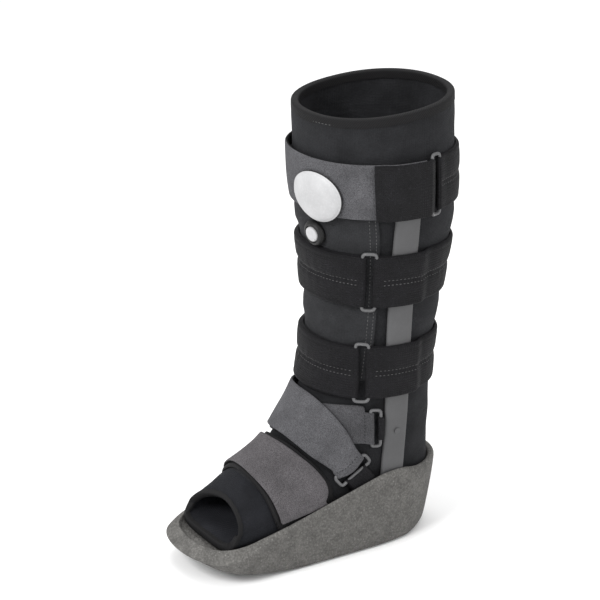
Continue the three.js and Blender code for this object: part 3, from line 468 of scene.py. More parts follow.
def section_values():
    """front y and z, back y and z, half width, arch and sole squareness, section by section."""
    values = []
    for s in SHAFT_SECTIONS:
        height = ANKLE_HEIGHT + s["rise"] * (RIM_HEIGHT - ANKLE_HEIGHT)
        values.append((-s["front"] * CALF_FRONT, height, s["back"] * CALF_BACK,
                       height + s["lift"] * RIM_RISE, s["width"] * CALF_WIDTH / 2,
                       s["arch"], s["arch"]))
    for s in FOOT_SECTIONS:
        rise = ANKLE_HEIGHT - BED_HEIGHT
        along = [v * (TOE_REACH if v < 0 else HEEL_REACH) for v in (s["front"], s["back"])]
        values.append((along[0], BED_HEIGHT + s["top"] * rise, along[1],
                       BED_HEIGHT + s["low"] * rise, s["width"] * FOOT_WIDTH / 2,
                       s["arch"], s["sole"]))
    return np.array(values)


SECTIONS = section_values()
LAST = len(SECTIONS) - 1


def section_at(station):
    """The section's values between two rows, on a smooth curve through them."""
    first = np.clip(np.floor(station).astype(int), 0, LAST - 1)
    t = (station - first)[..., None]
    a, b, c, d = (SECTIONS[np.clip(first + k, 0, LAST)] for k in (-1, 0, 1, 2))
    square, cube = t * t, t ** 3
    return (b * (2 * cube - 3 * square + 1) + (c - a) / 2 * (cube - 2 * square + t)
            + c * (3 * square - 2 * cube) + (d - b) / 2 * (cube - square))


def liner_face(station, angle):
    """Points of the liner's outer face."""
    station, angle = np.broadcast_arrays(np.asarray(station, float), np.asarray(angle, float))
    v = section_at(station)
    cosine, sine = np.cos(angle), np.sin(angle)
    power = 2 / np.where(cosine < 0, v[..., 6], v[..., 5])
    forward = np.sign(cosine) * np.abs(cosine) ** power
    sideways = np.sign(sine) * np.abs(sine) ** power
    share = (1 + forward) / 2
    return np.stack([sideways * v[..., 4], v[..., 2] + (v[..., 0] - v[..., 2]) * share,
                     v[..., 3] + (v[..., 1] - v[..., 3]) * share], -1)


def on_liner(station, angle, lift):
    """The same points, moved out along the face's normal by a lift in metres."""
    station, angle = np.broadcast_arrays(np.asarray(station, float), np.asarray(angle, float))
    along = (liner_face(np.minimum(LAST, station + ARC_STEP), angle)
             - liner_face(np.maximum(0, station - ARC_STEP), angle))
    around = liner_face(station, angle + ARC_STEP) - liner_face(station, angle - ARC_STEP)
    normal = np.cross(along, around)
    normal /= np.linalg.norm(normal, axis=-1)[..., None]
    return liner_face(station, angle) + normal * np.asarray(lift, float)[..., None]


def station_at(angle, height):
    """The station where the face, at an angle, is at a height."""
    angle, height = np.broadcast_arrays(np.asarray(angle, float), np.asarray(height, float))
    low, high = np.zeros(angle.shape), np.full(angle.shape, 10.0)
    for _ in range(HALVINGS):
        middle = (low + high) / 2
        above = liner_face(middle, angle)[..., 2] > height
        low, high = np.where(above, middle, low), np.where(above, high, middle)
    return low


def place_at(y, z):
    """Station and angle of the outer side at a point of the side view."""
    y, z = np.broadcast_arrays(np.asarray(y, float), np.asarray(z, float))
    low, high = np.zeros(y.shape), np.full(y.shape, float(LAST))
    for _ in range(HALVINGS):
        middle = (low + high) / 2
        v = section_at(middle)
        side = ((v[..., 2] - v[..., 0]) * (z - v[..., 1])
                - (v[..., 3] - v[..., 1]) * (y - v[..., 0]))
        beyond = side > 0
        low, high = np.where(beyond, low, middle), np.where(beyond, middle, high)
    v = section_at(low)
    along_y, along_z = v[..., 2] - v[..., 0], v[..., 3] - v[..., 1]
    share = ((y - v[..., 0]) * along_y + (z - v[..., 1]) * along_z) / (along_y ** 2 + along_z ** 2)
    forward = np.clip(1 - 2 * share, -1, 1)
    square = np.where(forward < 0, v[..., 6], v[..., 5])
    return low, np.arccos(np.sign(forward) * np.abs(forward) ** (square / 2))


def girth(millimetres, angle, height):
    """Millimetres round the shaft as an angle."""
    station = station_at(angle, height)
    arc = np.linalg.norm(liner_face(station, angle + ARC_STEP) - liner_face(station, angle - ARC_STEP))
    return millimetres * MM * 2 * ARC_STEP / float(arc)


print("liner's sections:", len(SECTIONS))

# %% [markdown]
# ## How the padding gives
# The straps squeeze the padding, so it swells a little between them, and the cloth creases
# beside their edges. Both are worked out as a lift of the liner's face. The lift dies away under
# the straps, at the stiff side bars and round the valve, which all lie flat.

# %% How the padding gives
STRAP_HEIGHT, TOP_TOP, MIDDLE_TOP, LOWER_TOP = 53 * MM, 393 * MM, 304 * MM, 212 * MM
BAR_MIDDLE, BAR_WIDTH = -4 * MM, 25 * MM
VALVE_ANGLE, VALVE_HEIGHT = 7 * DEGREE, 317.5 * MM
FREE_ZONES = [
    dict(low=TOP_TOP, high=RIM_HEIGHT + RIM_RISE, swell=0.5 * MM),
    dict(low=MIDDLE_TOP, high=TOP_TOP - STRAP_HEIGHT, swell=2.0 * MM),
    dict(low=LOWER_TOP, high=MIDDLE_TOP - STRAP_HEIGHT, swell=1.8 * MM),
    dict(low=74 * MM, high=LOWER_TOP - STRAP_HEIGHT, swell=1.3 * MM),
]
CREASE = 0.45 * MM
# How far the padding stays flat beside a thing, and over how much more it comes up
FLAT_AT_BAR, RISE_AT_BAR = 1 * MM, 11 * MM
FLAT_AT_VALVE, RISE_AT_VALVE = 13 * MM, 9 * MM
FLAT_AT_INSTEP, RISE_AT_INSTEP = 10 * MM, 10 * MM


def ease(value):
    """0 below 0, 1 above 1, and a soft step between."""
    value = np.clip(value, 0, 1)
    return value * value * (3 - 2 * value)


def give(station, angle):
    """Lift of the padding between the straps."""
    point = liner_face(station, angle)
    y, z = point[..., 1], point[..., 2]
    beside_bar = ease((np.abs(y - BAR_MIDDLE) - BAR_WIDTH / 2 - FLAT_AT_BAR) / RISE_AT_BAR)
    turned = np.mod(angle + math.pi, TURN) - math.pi
    from_valve = np.hypot((turned - VALVE_ANGLE) * CALF_WIDTH / 2, z - VALVE_HEIGHT)
    beside_valve = ease((from_valve - FLAT_AT_VALVE) / RISE_AT_VALVE)
    lift = np.zeros(y.shape)
    for zone in FREE_ZONES:
        share = (z - zone["low"]) / (zone["high"] - zone["low"])
        inside = np.where((share > 0) & (share < 1), np.sin(np.pi * np.clip(share, 0, 1)) ** 2, 0)
        below_straps = zone["low"] < LOWER_TOP - STRAP_HEIGHT
        behind = ease((y - FLAT_AT_INSTEP) / RISE_AT_INSTEP) if below_straps else 1
        crease = np.sin(5 * turned + 9 * share + 1.3 * np.sin(3 * turned))
        crease = crease + 0.6 * np.sin(11 * turned - 14 * share)
        lift = lift + inside * behind * (zone["swell"] + CREASE * crease)
    return lift * beside_bar * beside_valve


swelling = float(give(station_at(0.9, 0.325), np.array(0.9)))
print("the padding gives", round(swelling / MM, 2), "mm between two straps")

# %% [markdown]
# ## How the soft pieces are made
# A strap is sewn flat and then laid round the leg. It is modelled the same way: a grid is added
# flat, extruded once to give it an inner and an outer face, and its points are then moved so
# that the strip lies on the liner. The strip remembers where each point was on the flat
# pattern, along and across, so its cushion profile, its seams and its weave can follow it.
# A Subdivision Surface modifier rounds it at the end.


# %% Helpers for pieces
def deselect():
    if bpy.context.object and bpy.context.object.mode != "OBJECT":
        bpy.ops.object.mode_set(mode="OBJECT")
    bpy.ops.object.select_all(action="DESELECT")


def pick(piece):
    deselect()
    piece.select_set(True)
    bpy.context.view_layer.objects.active = piece


def keep_number(piece, name, values):
    """Keeps a number for each point of a piece, under a name."""
    attribute = piece.data.attributes.new(name, "FLOAT", "POINT")
    attribute.data.foreach_set("value", np.asarray(values, np.float32))


def number(piece, name):
    """The numbers kept under a name."""
    values = np.zeros(len(piece.data.vertices), np.float32)
    piece.data.attributes[name].data.foreach_get("value", values)
    return values.astype(float)


def points(piece):
    """The places of a piece's points, one row each."""
    co = np.zeros(len(piece.data.vertices) * 3)
    piece.data.vertices.foreach_get("co", co)
    return co.reshape(-1, 3)


def move_points(piece, co):
    piece.data.vertices.foreach_set("co", np.asarray(co).reshape(-1))
    piece.data.update()


def face_out(piece):
    """Turns all faces outwards."""
    pick(piece)
    bpy.ops.object.mode_set(mode="EDIT")
    bpy.ops.mesh.select_all(action="SELECT")
    bpy.ops.mesh.normals_make_consistent(inside=False)
    bpy.ops.object.mode_set(mode="OBJECT")


def weld(piece, distance=0.01 * MM):
    """Joins points that lie together."""
    pick(piece)
    bpy.ops.object.mode_set(mode="EDIT")
    bpy.ops.mesh.select_all(action="SELECT")
    bpy.ops.mesh.remove_doubles(threshold=distance)
    bpy.ops.object.mode_set(mode="OBJECT")


def smooth(piece, levels):
    """Rounds a piece with a Subdivision Surface modifier and applies it."""
    pick(piece)
    if levels:
        modifier = piece.modifiers.new("round", "SUBSURF")
        modifier.levels = modifier.render_levels = levels
        bpy.ops.object.modifier_apply(modifier=modifier.name)
    bpy.ops.object.shade_smooth()


print("helpers for points ready")

# %% [markdown]
# ## Two patterns
# Nearly every piece starts from one of two patterns: a flat strip with an inner and an outer
# face, or a stack of rings. Each point keeps its place on the pattern as a number, so one line
# of arithmetic can lay the whole piece on the leg. A strip's rounded edges come from a
# thickness that falls towards both sides.


# %% Strips and stacks
def strip_pattern(name, columns, rows, solid=True):
    """A flat pattern of unit size, with an inner and an outer face, that knows its places."""
    deselect()
    bpy.ops.mesh.primitive_grid_add(x_subdivisions=columns, y_subdivisions=rows, size=1)
    piece = bpy.context.object
    piece.name = name
    piece.data.name = name
    if solid:
        bpy.ops.object.mode_set(mode="EDIT")
        bpy.ops.mesh.select_all(action="SELECT")
        bpy.ops.mesh.extrude_region_move(TRANSFORM_OT_translate={"value": (0, 0, 1)})
        bpy.ops.object.mode_set(mode="OBJECT")
    co = points(piece)
    keep_number(piece, "along", co[:, 0] + 0.5)
    keep_number(piece, "across", co[:, 1] + 0.5)
    keep_number(piece, "outer", co[:, 2])
    return piece


def ring_stack(name, turns, count, radius, step):
    """A ring of points that is extruded again and again, one step at a time."""
    deselect()
    bpy.ops.mesh.primitive_circle_add(vertices=turns, radius=radius, location=(0, 0, 0))
    piece = bpy.context.object
    piece.name = name
    piece.data.name = name
    bpy.ops.object.mode_set(mode="EDIT")
    for _ in range(count - 1):
        bpy.ops.mesh.extrude_edges_move(TRANSFORM_OT_translate={"value": (0, 0, step)})
    bpy.ops.object.mode_set(mode="OBJECT")
    return piece


def close_ends(piece):
    """Fills the first and the last ring of a stack with one face each."""
    pick(piece)
    bpy.ops.object.mode_set(mode="EDIT")
    bpy.ops.mesh.select_all(action="DESELECT")
    bpy.ops.mesh.select_non_manifold()
    bpy.ops.mesh.edge_face_add()
    bpy.ops.object.mode_set(mode="OBJECT")


def two_finishes(piece, first, second, second_here):
    """Gives each face the first finish, or the second where second_here is 1."""
    piece.data.materials.append(first)
    piece.data.materials.append(second)
    piece.data.polygons.foreach_set("material_index", second_here)


def near_edges(t, share=0.6):
    """Moves evenly spaced rows closer together at both edges."""
    return t * (1 - share) + share * (1 - np.cos(np.pi * t)) / 2


def rounding(t, width, radius):
    """How full a strip is at a place across it: 0 at its very edge, 1 beyond the radius."""
    from_edge = np.minimum(t, 1 - t) * width
    inward = np.clip(1 - from_edge / radius, 0, 1)
    return np.sqrt(np.clip(1 - inward ** 2, 0, 1))


def real_uv(piece, along_length, across_length):
    """Scales the pattern's UV map to metres, from its places along and across."""
    along, across = number(piece, "along"), number(piece, "across")
    loops = np.zeros(len(piece.data.loops), int)
    piece.data.loops.foreach_get("vertex_index", loops)
    uv = np.stack([along[loops] * along_length, across[loops] * across_length], -1)
    layer = piece.data.uv_layers.active or piece.data.uv_layers.new(name="UVMap")
    layer.data.foreach_set("uv", uv.reshape(-1))


def lay_strip(name, columns, rows, place, base, thickness, material, cad,
              width, radius, lip=0.18, profile=None, edge_material=None):
    """A strip laid on the liner. place gives station and angle from the places on the flat
    pattern; base and thickness are the lift of its inner face and its own height. Its outer
    face rounds down, over the radius, to a lip that is a share of the thickness."""
    piece = strip_pattern(name, columns, rows)
    along, across = number(piece, "along"), near_edges(number(piece, "across"))
    outer = number(piece, "outer") > 0.5
    station, angle = place(along, across)
    high = thickness(along, across)
    full = lip + (1 - lip) * rounding(across, width, radius)
    if profile is not None:
        full = full * profile(along, across)
    lift = base(along, across, station, angle) + np.where(outer, full, 0) * high
    move_points(piece, on_liner(station, angle, lift))
    centre = liner_face(*place(np.linspace(0, 1, 60), np.full(60, 0.5)))
    length = float(np.linalg.norm(np.diff(centre, axis=0), axis=1).sum())
    real_uv(piece, length, width)
    # The sides and underside may take a second finish; the felts' near-black edge is partly painted shade
    if edge_material is not None:
        at_edge = [0 if all(outer[v] for v in f.vertices) else 1 for f in piece.data.polygons]
        two_finishes(piece, material, edge_material, at_edge)
    return finish_piece(piece, material, cad, 1)


def finish_piece(piece, material, cad, levels=0):
    """Rounds a piece, gives it its finish and hides the solid it stands for."""
    weld(piece)
    face_out(piece)
    smooth(piece, levels)
    if not piece.data.materials:
        piece.data.materials.append(material)
    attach(piece, "root")
    if cad:
        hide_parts(*([cad] if isinstance(cad, str) else cad))
    print(piece.name, len(piece.data.polygons), "faces")
    return piece


def constant(value):
    """The same lift or thickness everywhere."""
    return lambda *places: np.full(np.shape(places[0]), value)


print("patterns ready")


# %% [markdown]
# ## The liner
# A ring of points is added at the top and extruded section by section down the leg, round the
# heel and out to the toes. The points of each new ring are then set on the liner's form. The
# wall comes last, from Solidify, so that the lining inside is parallel to the outer cloth.

# %% Liner
LINER_TURNS, TUBE_RADIUS, TUBE_STEP = 96, 70 * MM, -5 * MM
ANKLE_STATION = 5
STATIONS = np.concatenate([np.arange(0, ANKLE_STATION, 0.2), np.arange(ANKLE_STATION, LAST + 0.01, 0.16)])
STATIONS = np.append(STATIONS[STATIONS < LAST - 0.05], LAST)
LINER_ROUND, LINER_TALL = 0.45, 0.62
TOE_FOLDS, TOE_KNIT = 14.95, 14.6  # stations where the toe's folds and its cloth begin
DENT, TOE_FOLD = 0.25 * MM, 0.3 * MM


def tube(name, stations, lift):
    """Rings of points extruded one after the other and set on the liner's form."""
    piece = ring_stack(name, LINER_TURNS, len(stations), TUBE_RADIUS, TUBE_STEP)
    co = points(piece)
    ring = np.rint(co[:, 2] / TUBE_STEP).astype(int)
    angle = np.arctan2(co[:, 0], -co[:, 1])
    station = np.asarray(stations)[ring]
    keep_number(piece, "station", station)
    keep_number(piece, "angle", angle)
    move_points(piece, on_liner(station, angle, lift(station, angle)))
    return piece


def give_tube_uv(piece, round_length, tall_length):
    """A map in metres: round the leg and down it, with one cut at the back."""
    station, angle = number(piece, "station"), number(piece, "angle")
    layer = piece.data.uv_layers.active or piece.data.uv_layers.new(name="UVMap")
    for face in piece.data.polygons:
        turns = [angle[v] / TURN for v in face.vertices]
        top = max(turns)
        for loop, v, turn in zip(face.loop_indices, face.vertices, turns):
            around = turn + 1 if top - turn > 0.5 else turn
            layer.data[loop].uv = (around * round_length, station[v] / LAST * tall_length)


def liner_lift(station, angle):
    """Shallow dents all over, folds at the toes, and the swelling between the straps."""
    dents = 0.5 * np.sin(3 * angle + station * 1.7) + 0.5 * np.sin(5 * angle - station * 2.6)
    calm = np.clip(station / 0.8, 0, 1) * np.clip((LAST - station) / 0.8, 0, 1)
    folds = np.sin(9 * station + 1.4 * np.sin(2 * angle)) * np.clip((station - TOE_FOLDS) / 0.3, 0, 1)
    return DENT * dents * calm + TOE_FOLD * folds * calm + give(station, angle)


liner = tube("liner_cloth", STATIONS, liner_lift)
give_tube_uv(liner, LINER_ROUND, LINER_TALL)
face_out(liner)
pick(liner)
wall = liner.modifiers.new("wall", "SOLIDIFY")
wall.thickness = LINER_WALL - 0.4 * MM
wall.offset = -1
wall.material_offset = 1
wall.material_offset_rim = 1
bpy.ops.object.modifier_apply(modifier=wall.name)
smooth(liner, 1)
for cloth in (liner_knit, lining_knit, toe_knit):
    liner.data.materials.append(cloth)
station_of = number(liner, "station")
for face in liner.data.polygons:
    if face.material_index == 0 and min(station_of[v] for v in face.vertices) > TOE_KNIT:
        face.material_index = 2
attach(liner, "root")
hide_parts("liner")
print("liner", len(liner.data.polygons), "faces")

# %% [markdown]
# The cut edges of the liner are covered by a folded tape, at the top and round the toes. The
# tape is a half round gutter that hugs both faces: a strip whose places across run up the
# outside, over the edge and down the inside.


# %% Bound edges of the liner
TAPE_WRAP = 0.42  # share of the tape's width that goes round the edge
TAPE_LENGTH, TAPE_WIDTH, TAPE_OVER, TAPE_BEYOND = 0.46, 22 * MM, 0.7 * MM, 1.6 * MM
TAPE_RIPPLE = 0.35 * MM


def edge_tape(name, station, inward, reach, material):
    """inward is +1 at the top edge and -1 at the toes: the way stations go into the cloth."""
    piece = strip_pattern(name, 120, 14, solid=False)
    along, across = number(piece, "along"), number(piece, "across")
    angle = along * TURN
    turn = (across - 0.5) * 2
    thick = LINER_WALL / 2 + TAPE_OVER
    round_part = np.clip(turn / TAPE_WRAP, -1, 1) * math.pi / 2
    straight = np.clip(np.abs(turn) - TAPE_WRAP, 0, 1) / (1 - TAPE_WRAP)
    lift = -LINER_WALL / 2 + thick * np.sin(round_part)
    edge = liner_face(np.full(angle.shape, station), angle)
    inner = liner_face(np.full(angle.shape, station + inward * 0.05), angle)
    away = edge - inner
    away /= np.linalg.norm(away, axis=-1)[:, None]
    face = on_liner(np.full(angle.shape, station), angle, lift)
    ripple = TAPE_RIPPLE * np.sin(angle * 23) * straight
    out = TAPE_BEYOND * np.cos(round_part) - straight * (reach + ripple)
    move_points(piece, face + away * out[:, None])
    real_uv(piece, TAPE_LENGTH, TAPE_WIDTH)
    weld(piece, 0.2 * MM)
    return finish_piece(piece, material, None, 1)


edge_tape("rim_tape", 0.0, 1, 7 * MM, black_tape)
edge_tape("toe_tape", float(LAST), -1, 4 * MM, black_tape)

# %% [markdown]
# ## The sole
# The shell starts as the ring of its outline, seen from above, and is extruded upwards: first
# the rounded bottom edge, then the leaning wall, the rounded rim, the flat rim, and last down
# along the liner into the foot bed. How wide the flat rim is depends on how near the liner is
# at each place, and a ray sent inwards measures that.

# %% Sizes and outline of the sole
SOLE_LENGTH, SOLE_TOE, SOLE_WIDTH, SOLE_RIM = 280 * MM, 210 * MM, 120 * MM, 80 * MM
TOE_ROCKER, HEEL_ROCKER = 23 * MM, 13 * MM
TOE_FLARE, HEEL_FLARE = 3.5 * MM, 9 * MM
# along: share of the length from the toe; half: share of the sole's width to one side;
# rim: share of the wall's height at the ankle; shoulder: how round the rim is, 0 to 1
SOLE_PLACES = [
    dict(along=0.0, half=0.495, rim=0.41, shoulder=1),
    dict(along=0.08, half=0.495, rim=0.42, shoulder=1),
    dict(along=0.17, half=0.5, rim=0.48, shoulder=0.6),
    dict(along=0.27, half=0.5, rim=0.585, shoulder=0),
    dict(along=0.48, half=0.5, rim=0.79, shoulder=0),
    dict(along=0.69, half=0.5, rim=0.99, shoulder=0),
    dict(along=0.77, half=0.485, rim=1.0, shoulder=0),
    dict(along=0.83, half=0.455, rim=0.94, shoulder=0),
    dict(along=0.9, half=0.41, rim=0.905, shoulder=0),
    dict(along=1.0, half=0.385, rim=0.93, shoulder=0),
]


def sole_value(key, along):
    """A column of the table at a place along the sole, with its corners eased."""
    places = [p["along"] for p in SOLE_PLACES]
    values = [p[key] for p in SOLE_PLACES]
    fine = np.linspace(0, 1, 201)
    straight = np.interp(fine, places, values)
    reach = 8
    window = np.hanning(2 * reach + 1)
    eased = np.convolve(np.pad(straight, reach, mode="edge"), window / window.sum(), mode="valid")
    return np.interp(along, fine, eased)


def sole_rounding(along):
    """How the outline closes at the toe and at the heel, from 0 to 1."""
    toe = np.clip(along / 0.2, 0, 1)
    heel = np.clip((1 - along) / 0.19, 0, 1)
    return (np.clip(1 - (1 - toe) ** 3.6, 0, 1) ** 0.5) * (np.clip(1 - (1 - heel) ** 2.3, 0, 1) ** 0.5)


def sole_bottom(along):
    """Height of the curved tread: flat in the middle, curled up at both ends."""
    toe = np.clip(1 - along / 0.4, 0, 1)
    heel = np.clip(1 - (1 - along) / 0.2, 0, 1)
    return TOE_ROCKER * toe ** 1.9 + HEEL_ROCKER * heel ** 1.8


print("the tread rises", TOE_ROCKER / MM, "mm at the toe and", HEEL_ROCKER / MM, "mm at the heel")

# %% [markdown]
# ## Room inside the sole
# The rim has to end just short of the liner, the bars and the straps that dip into it. Each
# outline point looks inwards along a ray. The smallest room among its neighbours is taken and
# then averaged, so the rim's inner line stays smooth where a strap leaves the sole.

# %% Room inside the sole
SOLE_TURNS = 144
DIPPING = ["upright_lateral", "upright_medial", "forefoot_pad", "forefoot_strap", "low_ankle_link"]
NEIGHBOURS = 5
MOST_ROOM, RIM_CLEARANCE = 15 * MM, 0.9 * MM
RIM_LEAST, RIM_MOST = 3.5 * MM, 13 * MM


def outline_ring():
    """The sole's outline from above, once round from the toe."""
    turn = np.arange(SOLE_TURNS) / SOLE_TURNS * TURN
    along = (1 - np.cos(turn)) / 2
    side = np.where(np.sin(turn) >= 0, 1, -1)
    half = sole_value("half", along) * sole_rounding(along) * SOLE_WIDTH
    return np.stack([side * half, along * SOLE_LENGTH - SOLE_TOE], -1)


def inward_of(ring):
    """The way into the sole at each outline point."""
    step = np.roll(ring, -1, 0) - np.roll(ring, 1, 0)
    step /= np.linalg.norm(step, axis=1)[:, None]
    inward = np.stack([-step[:, 1], step[:, 0]], -1)
    return inward if ((ring.mean(0) - ring) * inward).sum() >= 0 else -inward


def along_of(places):
    return np.clip((places[:, 1] + SOLE_TOE) / SOLE_LENGTH, 0, 1)


def obstacles():
    """What stands in the sole: the liner and the pieces that dip into it, as one surface."""
    verts = [tuple(v) for v in points(liner)]
    faces = [tuple(f.vertices) for f in liner.data.polygons]
    for name in DIPPING:
        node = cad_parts[name]
        start = len(verts)
        verts += [tuple(v.co) for v in node.data.vertices]
        faces += [tuple(start + v for v in f.vertices) for f in node.data.polygons]
    return BVHTree.FromPolygons(verts, faces)


def room_inside(height, most):
    """How far each outline point can go inwards, at its height, before it meets something."""
    room = np.zeros(len(outline))
    for i, (point, way) in enumerate(zip(outline, inward)):
        start = Vector((point[0], point[1], height[i]))
        hit = in_the_sole.ray_cast(start, Vector((way[0], way[1], 0)), most)
        room[i] = hit[3] if hit[0] is not None else most
    return room


def with_neighbours(values):
    return [np.roll(values, k) for k in range(-NEIGHBOURS, NEIGHBOURS + 1)]


outline = outline_ring()
inward = inward_of(outline)
outline_along = along_of(outline)
in_the_sole = obstacles()
room = room_inside(sole_value("rim", outline_along) * SOLE_RIM - 1 * MM, MOST_ROOM)
room = np.mean(with_neighbours(np.min(with_neighbours(room), axis=0)), axis=0)
flat_rim = np.clip(room - RIM_CLEARANCE, RIM_LEAST, RIM_MOST)
print("the rim is", round(flat_rim.min() / MM, 1), "to", round(flat_rim.max() / MM, 1), "mm wide")

# %% [markdown]
# ## Rings of the sole
# Each ring is the outline moved inwards by an inset, at a height of its own. The wall leans
# out from bottom to top, more at the heel than at the toe. The rim is crisp beside the ankle
# and rounds over into a wide shoulder towards the toes, as on the real sole.

# %% Sole
BOTTOM_EDGE = 3.6 * MM
BED_FLOOR = BED_HEIGHT - 1.5 * MM
TREAD_INSET = 8 * MM

flare = TOE_FLARE + (HEEL_FLARE - TOE_FLARE) * outline_along
shoulder = np.clip(sole_value("shoulder", outline_along), 0, 1)
shoulder_drop = (2.5 + 6.5 * shoulder) * MM
shoulder_width = np.minimum((3 + 9 * shoulder) * MM, flat_rim - 1.2 * MM)


def sole_ring(inset, height):
    at = outline + inward * inset[:, None]
    return np.stack([at[:, 0], at[:, 1], height], -1)


def level_of(inset):
    """Heights of the tread and of the rim below and above an inset ring."""
    along = along_of(outline + inward * inset[:, None])
    return sole_bottom(along), sole_value("rim", along) * SOLE_RIM


def tread_rings():
    tread = sole_ring(flare + TREAD_INSET, np.zeros(SOLE_TURNS))
    mid = tread[:, 1].mean()
    for share in (0.03, 0.35, 0.7, 1.0):
        y = mid + (tread[:, 1] - mid) * (0.85 + 0.15 * share)
        inner = np.stack([tread[:, 0] * share, y], -1)
        yield np.column_stack([inner, sole_bottom(along_of(inner))])
    for back, up in ((4.0, 0.0), (1.6, 0.9), (0.0, BOTTOM_EDGE / MM)):
        inset = flare + back * MM
        yield sole_ring(inset, level_of(inset)[0] + up * MM)


def wall_rings():
    for share in (0.2, 0.4, 0.6, 0.8, 0.94):
        inset = flare * (1 - share) ** 1.3
        bottom, rim = level_of(inset)
        top = rim - shoulder_drop
        yield sole_ring(inset, bottom + BOTTOM_EDGE + (top - bottom - BOTTOM_EDGE) * share)


def rim_rings():
    for share in (0.0, 0.35, 0.7, 0.9, 1.0):
        inset = shoulder_width * share
        yield sole_ring(inset, level_of(inset)[1] - shoulder_drop * (1 - share) ** 1.7)
    rim = level_of(flat_rim)[1]
    yield sole_ring(flat_rim - 0.5 * MM, rim)
    yield sole_ring(flat_rim, rim - 0.6 * MM)


def bed_rings():
    rim = level_of(flat_rim)[1]
    for drop, most in ((4, 1.2), (9, 4), (16, 4)):
        deeper = room_inside(rim - drop * MM, 30 * MM) - 0.7 * MM
        inset = np.maximum(flat_rim + 0.3 * MM, np.minimum(deeper, flat_rim + most * MM))
        last = sole_ring(inset, np.maximum(rim - drop * MM, BED_FLOOR))
        yield last
    flat = last.copy()
    flat[:, 2] = BED_FLOOR
    spine = flat.copy()
    spine[:, 0] = 0
    spine[:, 1] = last[:, 1] * 0.85 + last[:, 1].mean() * 0.15
    for share in (0.6, 0.2):
        yield spine + (flat - spine) * share


def build_sole():
    rings = [*tread_rings(), *wall_rings(), *rim_rings(), *bed_rings()]
    step = 10 * MM
    piece = ring_stack("sole_cover", SOLE_TURNS, len(rings), 0.1, step)
    co = points(piece)
    level = np.rint(co[:, 2] / step).astype(int)
    turn = np.mod(np.arctan2(co[:, 0], -co[:, 1]), TURN)
    spot = np.mod(np.rint(turn / TURN * SOLE_TURNS).astype(int), SOLE_TURNS)
    move_points(piece, np.array([rings[r][s] for r, s in zip(level, spot)]))
    close_ends(piece)
    return finish_piece(piece, sole.material, "sole_shell", 1)


build_sole()

# %% [markdown]
# ## Stitching
# Thread is what makes a strap look sewn. One stitch is modelled as a small flattened capsule,
# and it is repeated along each seam. Where a stitch lies is found by a ray from outside, so it
# rests on the finished cushion whatever its ribs are like.


# %% A seam of stitches
FELT_PITCH, BAND_PITCH, FLAP_PITCH, RIM_PITCH = 3.2 * MM, 3.4 * MM, 3.6 * MM, 4 * MM
STITCH_REACH = 0.34  # half a stitch's length, as a share of the pitch
STITCH_WIDE, STITCH_HIGH = 0.36 * MM, 0.26 * MM  # half its width and half its height
RAY_START, RAY_REACH = 20 * MM, 30 * MM


def surface_of(piece):
    verts = [tuple(v) for v in points(piece)]
    return BVHTree.FromPolygons(verts, [tuple(f.vertices) for f in piece.data.polygons])


def seam(name, piece, place, across, spacing, material, first=0.018, last=0.982):
    """Stitches along a strip at one place across it, from a first to a last share along it."""
    line = np.linspace(first, last, 900)
    station, angle = place(line, np.full(line.shape, across))
    path = liner_face(station, angle)
    travelled = np.concatenate([[0], np.cumsum(np.linalg.norm(np.diff(path, axis=0), axis=1))])
    count = int(travelled[-1] / spacing)
    at = np.interp((np.arange(count) + 0.5) * spacing, travelled, line)
    station, angle = place(at, np.full(at.shape, across))
    outside, inside = on_liner(station, angle, RAY_START), on_liner(station, angle, 0.0)
    ahead = liner_face(*place(at + 0.002, np.full(at.shape, across))) - liner_face(station, angle)
    deselect()
    bpy.ops.mesh.primitive_uv_sphere_add(segments=6, ring_count=5, radius=1)
    stitch = bpy.context.object
    stitch.name = name
    one = points(stitch) * (spacing * STITCH_REACH, STITCH_WIDE, STITCH_HIGH)
    faces = [tuple(f.vertices) for f in stitch.data.polygons]
    tree = surface_of(piece)
    all_points, all_faces = [], []
    for start, stop, along in zip(outside, inside, ahead):
        hit = tree.ray_cast(Vector(start), Vector(stop - start).normalized(), RAY_REACH)
        if hit[0] is None:
            continue
        up = np.array(hit[1])
        up = up if up @ (start - stop) > 0 else -up
        x = along - up * (along @ up)
        x /= np.linalg.norm(x)
        y = np.cross(up, x)
        all_faces += [tuple(v + len(all_points) * len(one) for v in f) for f in faces]
        all_points.append(np.array(hit[0]) + one[:, :1] * x + one[:, 1:2] * y + one[:, 2:] * up)
    stitch.data.clear_geometry()
    stitch.data.from_pydata(np.concatenate(all_points).tolist(), [], all_faces)
    stitch.data.update()
    return finish_piece(stitch, material, None)


def across_seams(name, piece, place, shares, spacing, material, first=0.06, last=0.94):
    """Rows of stitches across a strip, at shares along it."""
    for order, along in enumerate(shares):
        seam(f"{name}_{order}", piece, lambda line, at: place(at, line), along, spacing,
             material, first, last)


print("a felt stitch is", round(2 * FELT_PITCH * STITCH_REACH / MM, 1), "mm long")


# %% [markdown]
# ## Side bars
# Each bar is a stiff strip of plastic that dips into the sole's wall and follows the leg up to
# the top strap. A rivet holds it low down. The bar is a plain strip with small rounded edges,
# so the same helper makes it, with a much smaller radius than a cushion's.

# %% Side bars and rivets
BAR_THICK, BAR_EDGE = 4 * MM, 1.6 * MM
BAR_TOP, BAR_FOOT, CLOTH_GAP = 380 * MM, 50 * MM, 0.8 * MM
RIVET_RADIUS, RIVET_HIGH, RIVET_DOME = 3 * MM, 1.6 * MM, 0.7 * MM
RIVET_HEIGHT, RIVET_LIFT = 122 * MM, 0.9 * MM


def bar_place(side):
    def place(along, across):
        height = BAR_FOOT + (BAR_TOP - BAR_FOOT) * along
        y = BAR_MIDDLE + BAR_WIDTH * (across - 0.5)
        station, angle = place_at(y, height)
        return station, side * angle
    return place


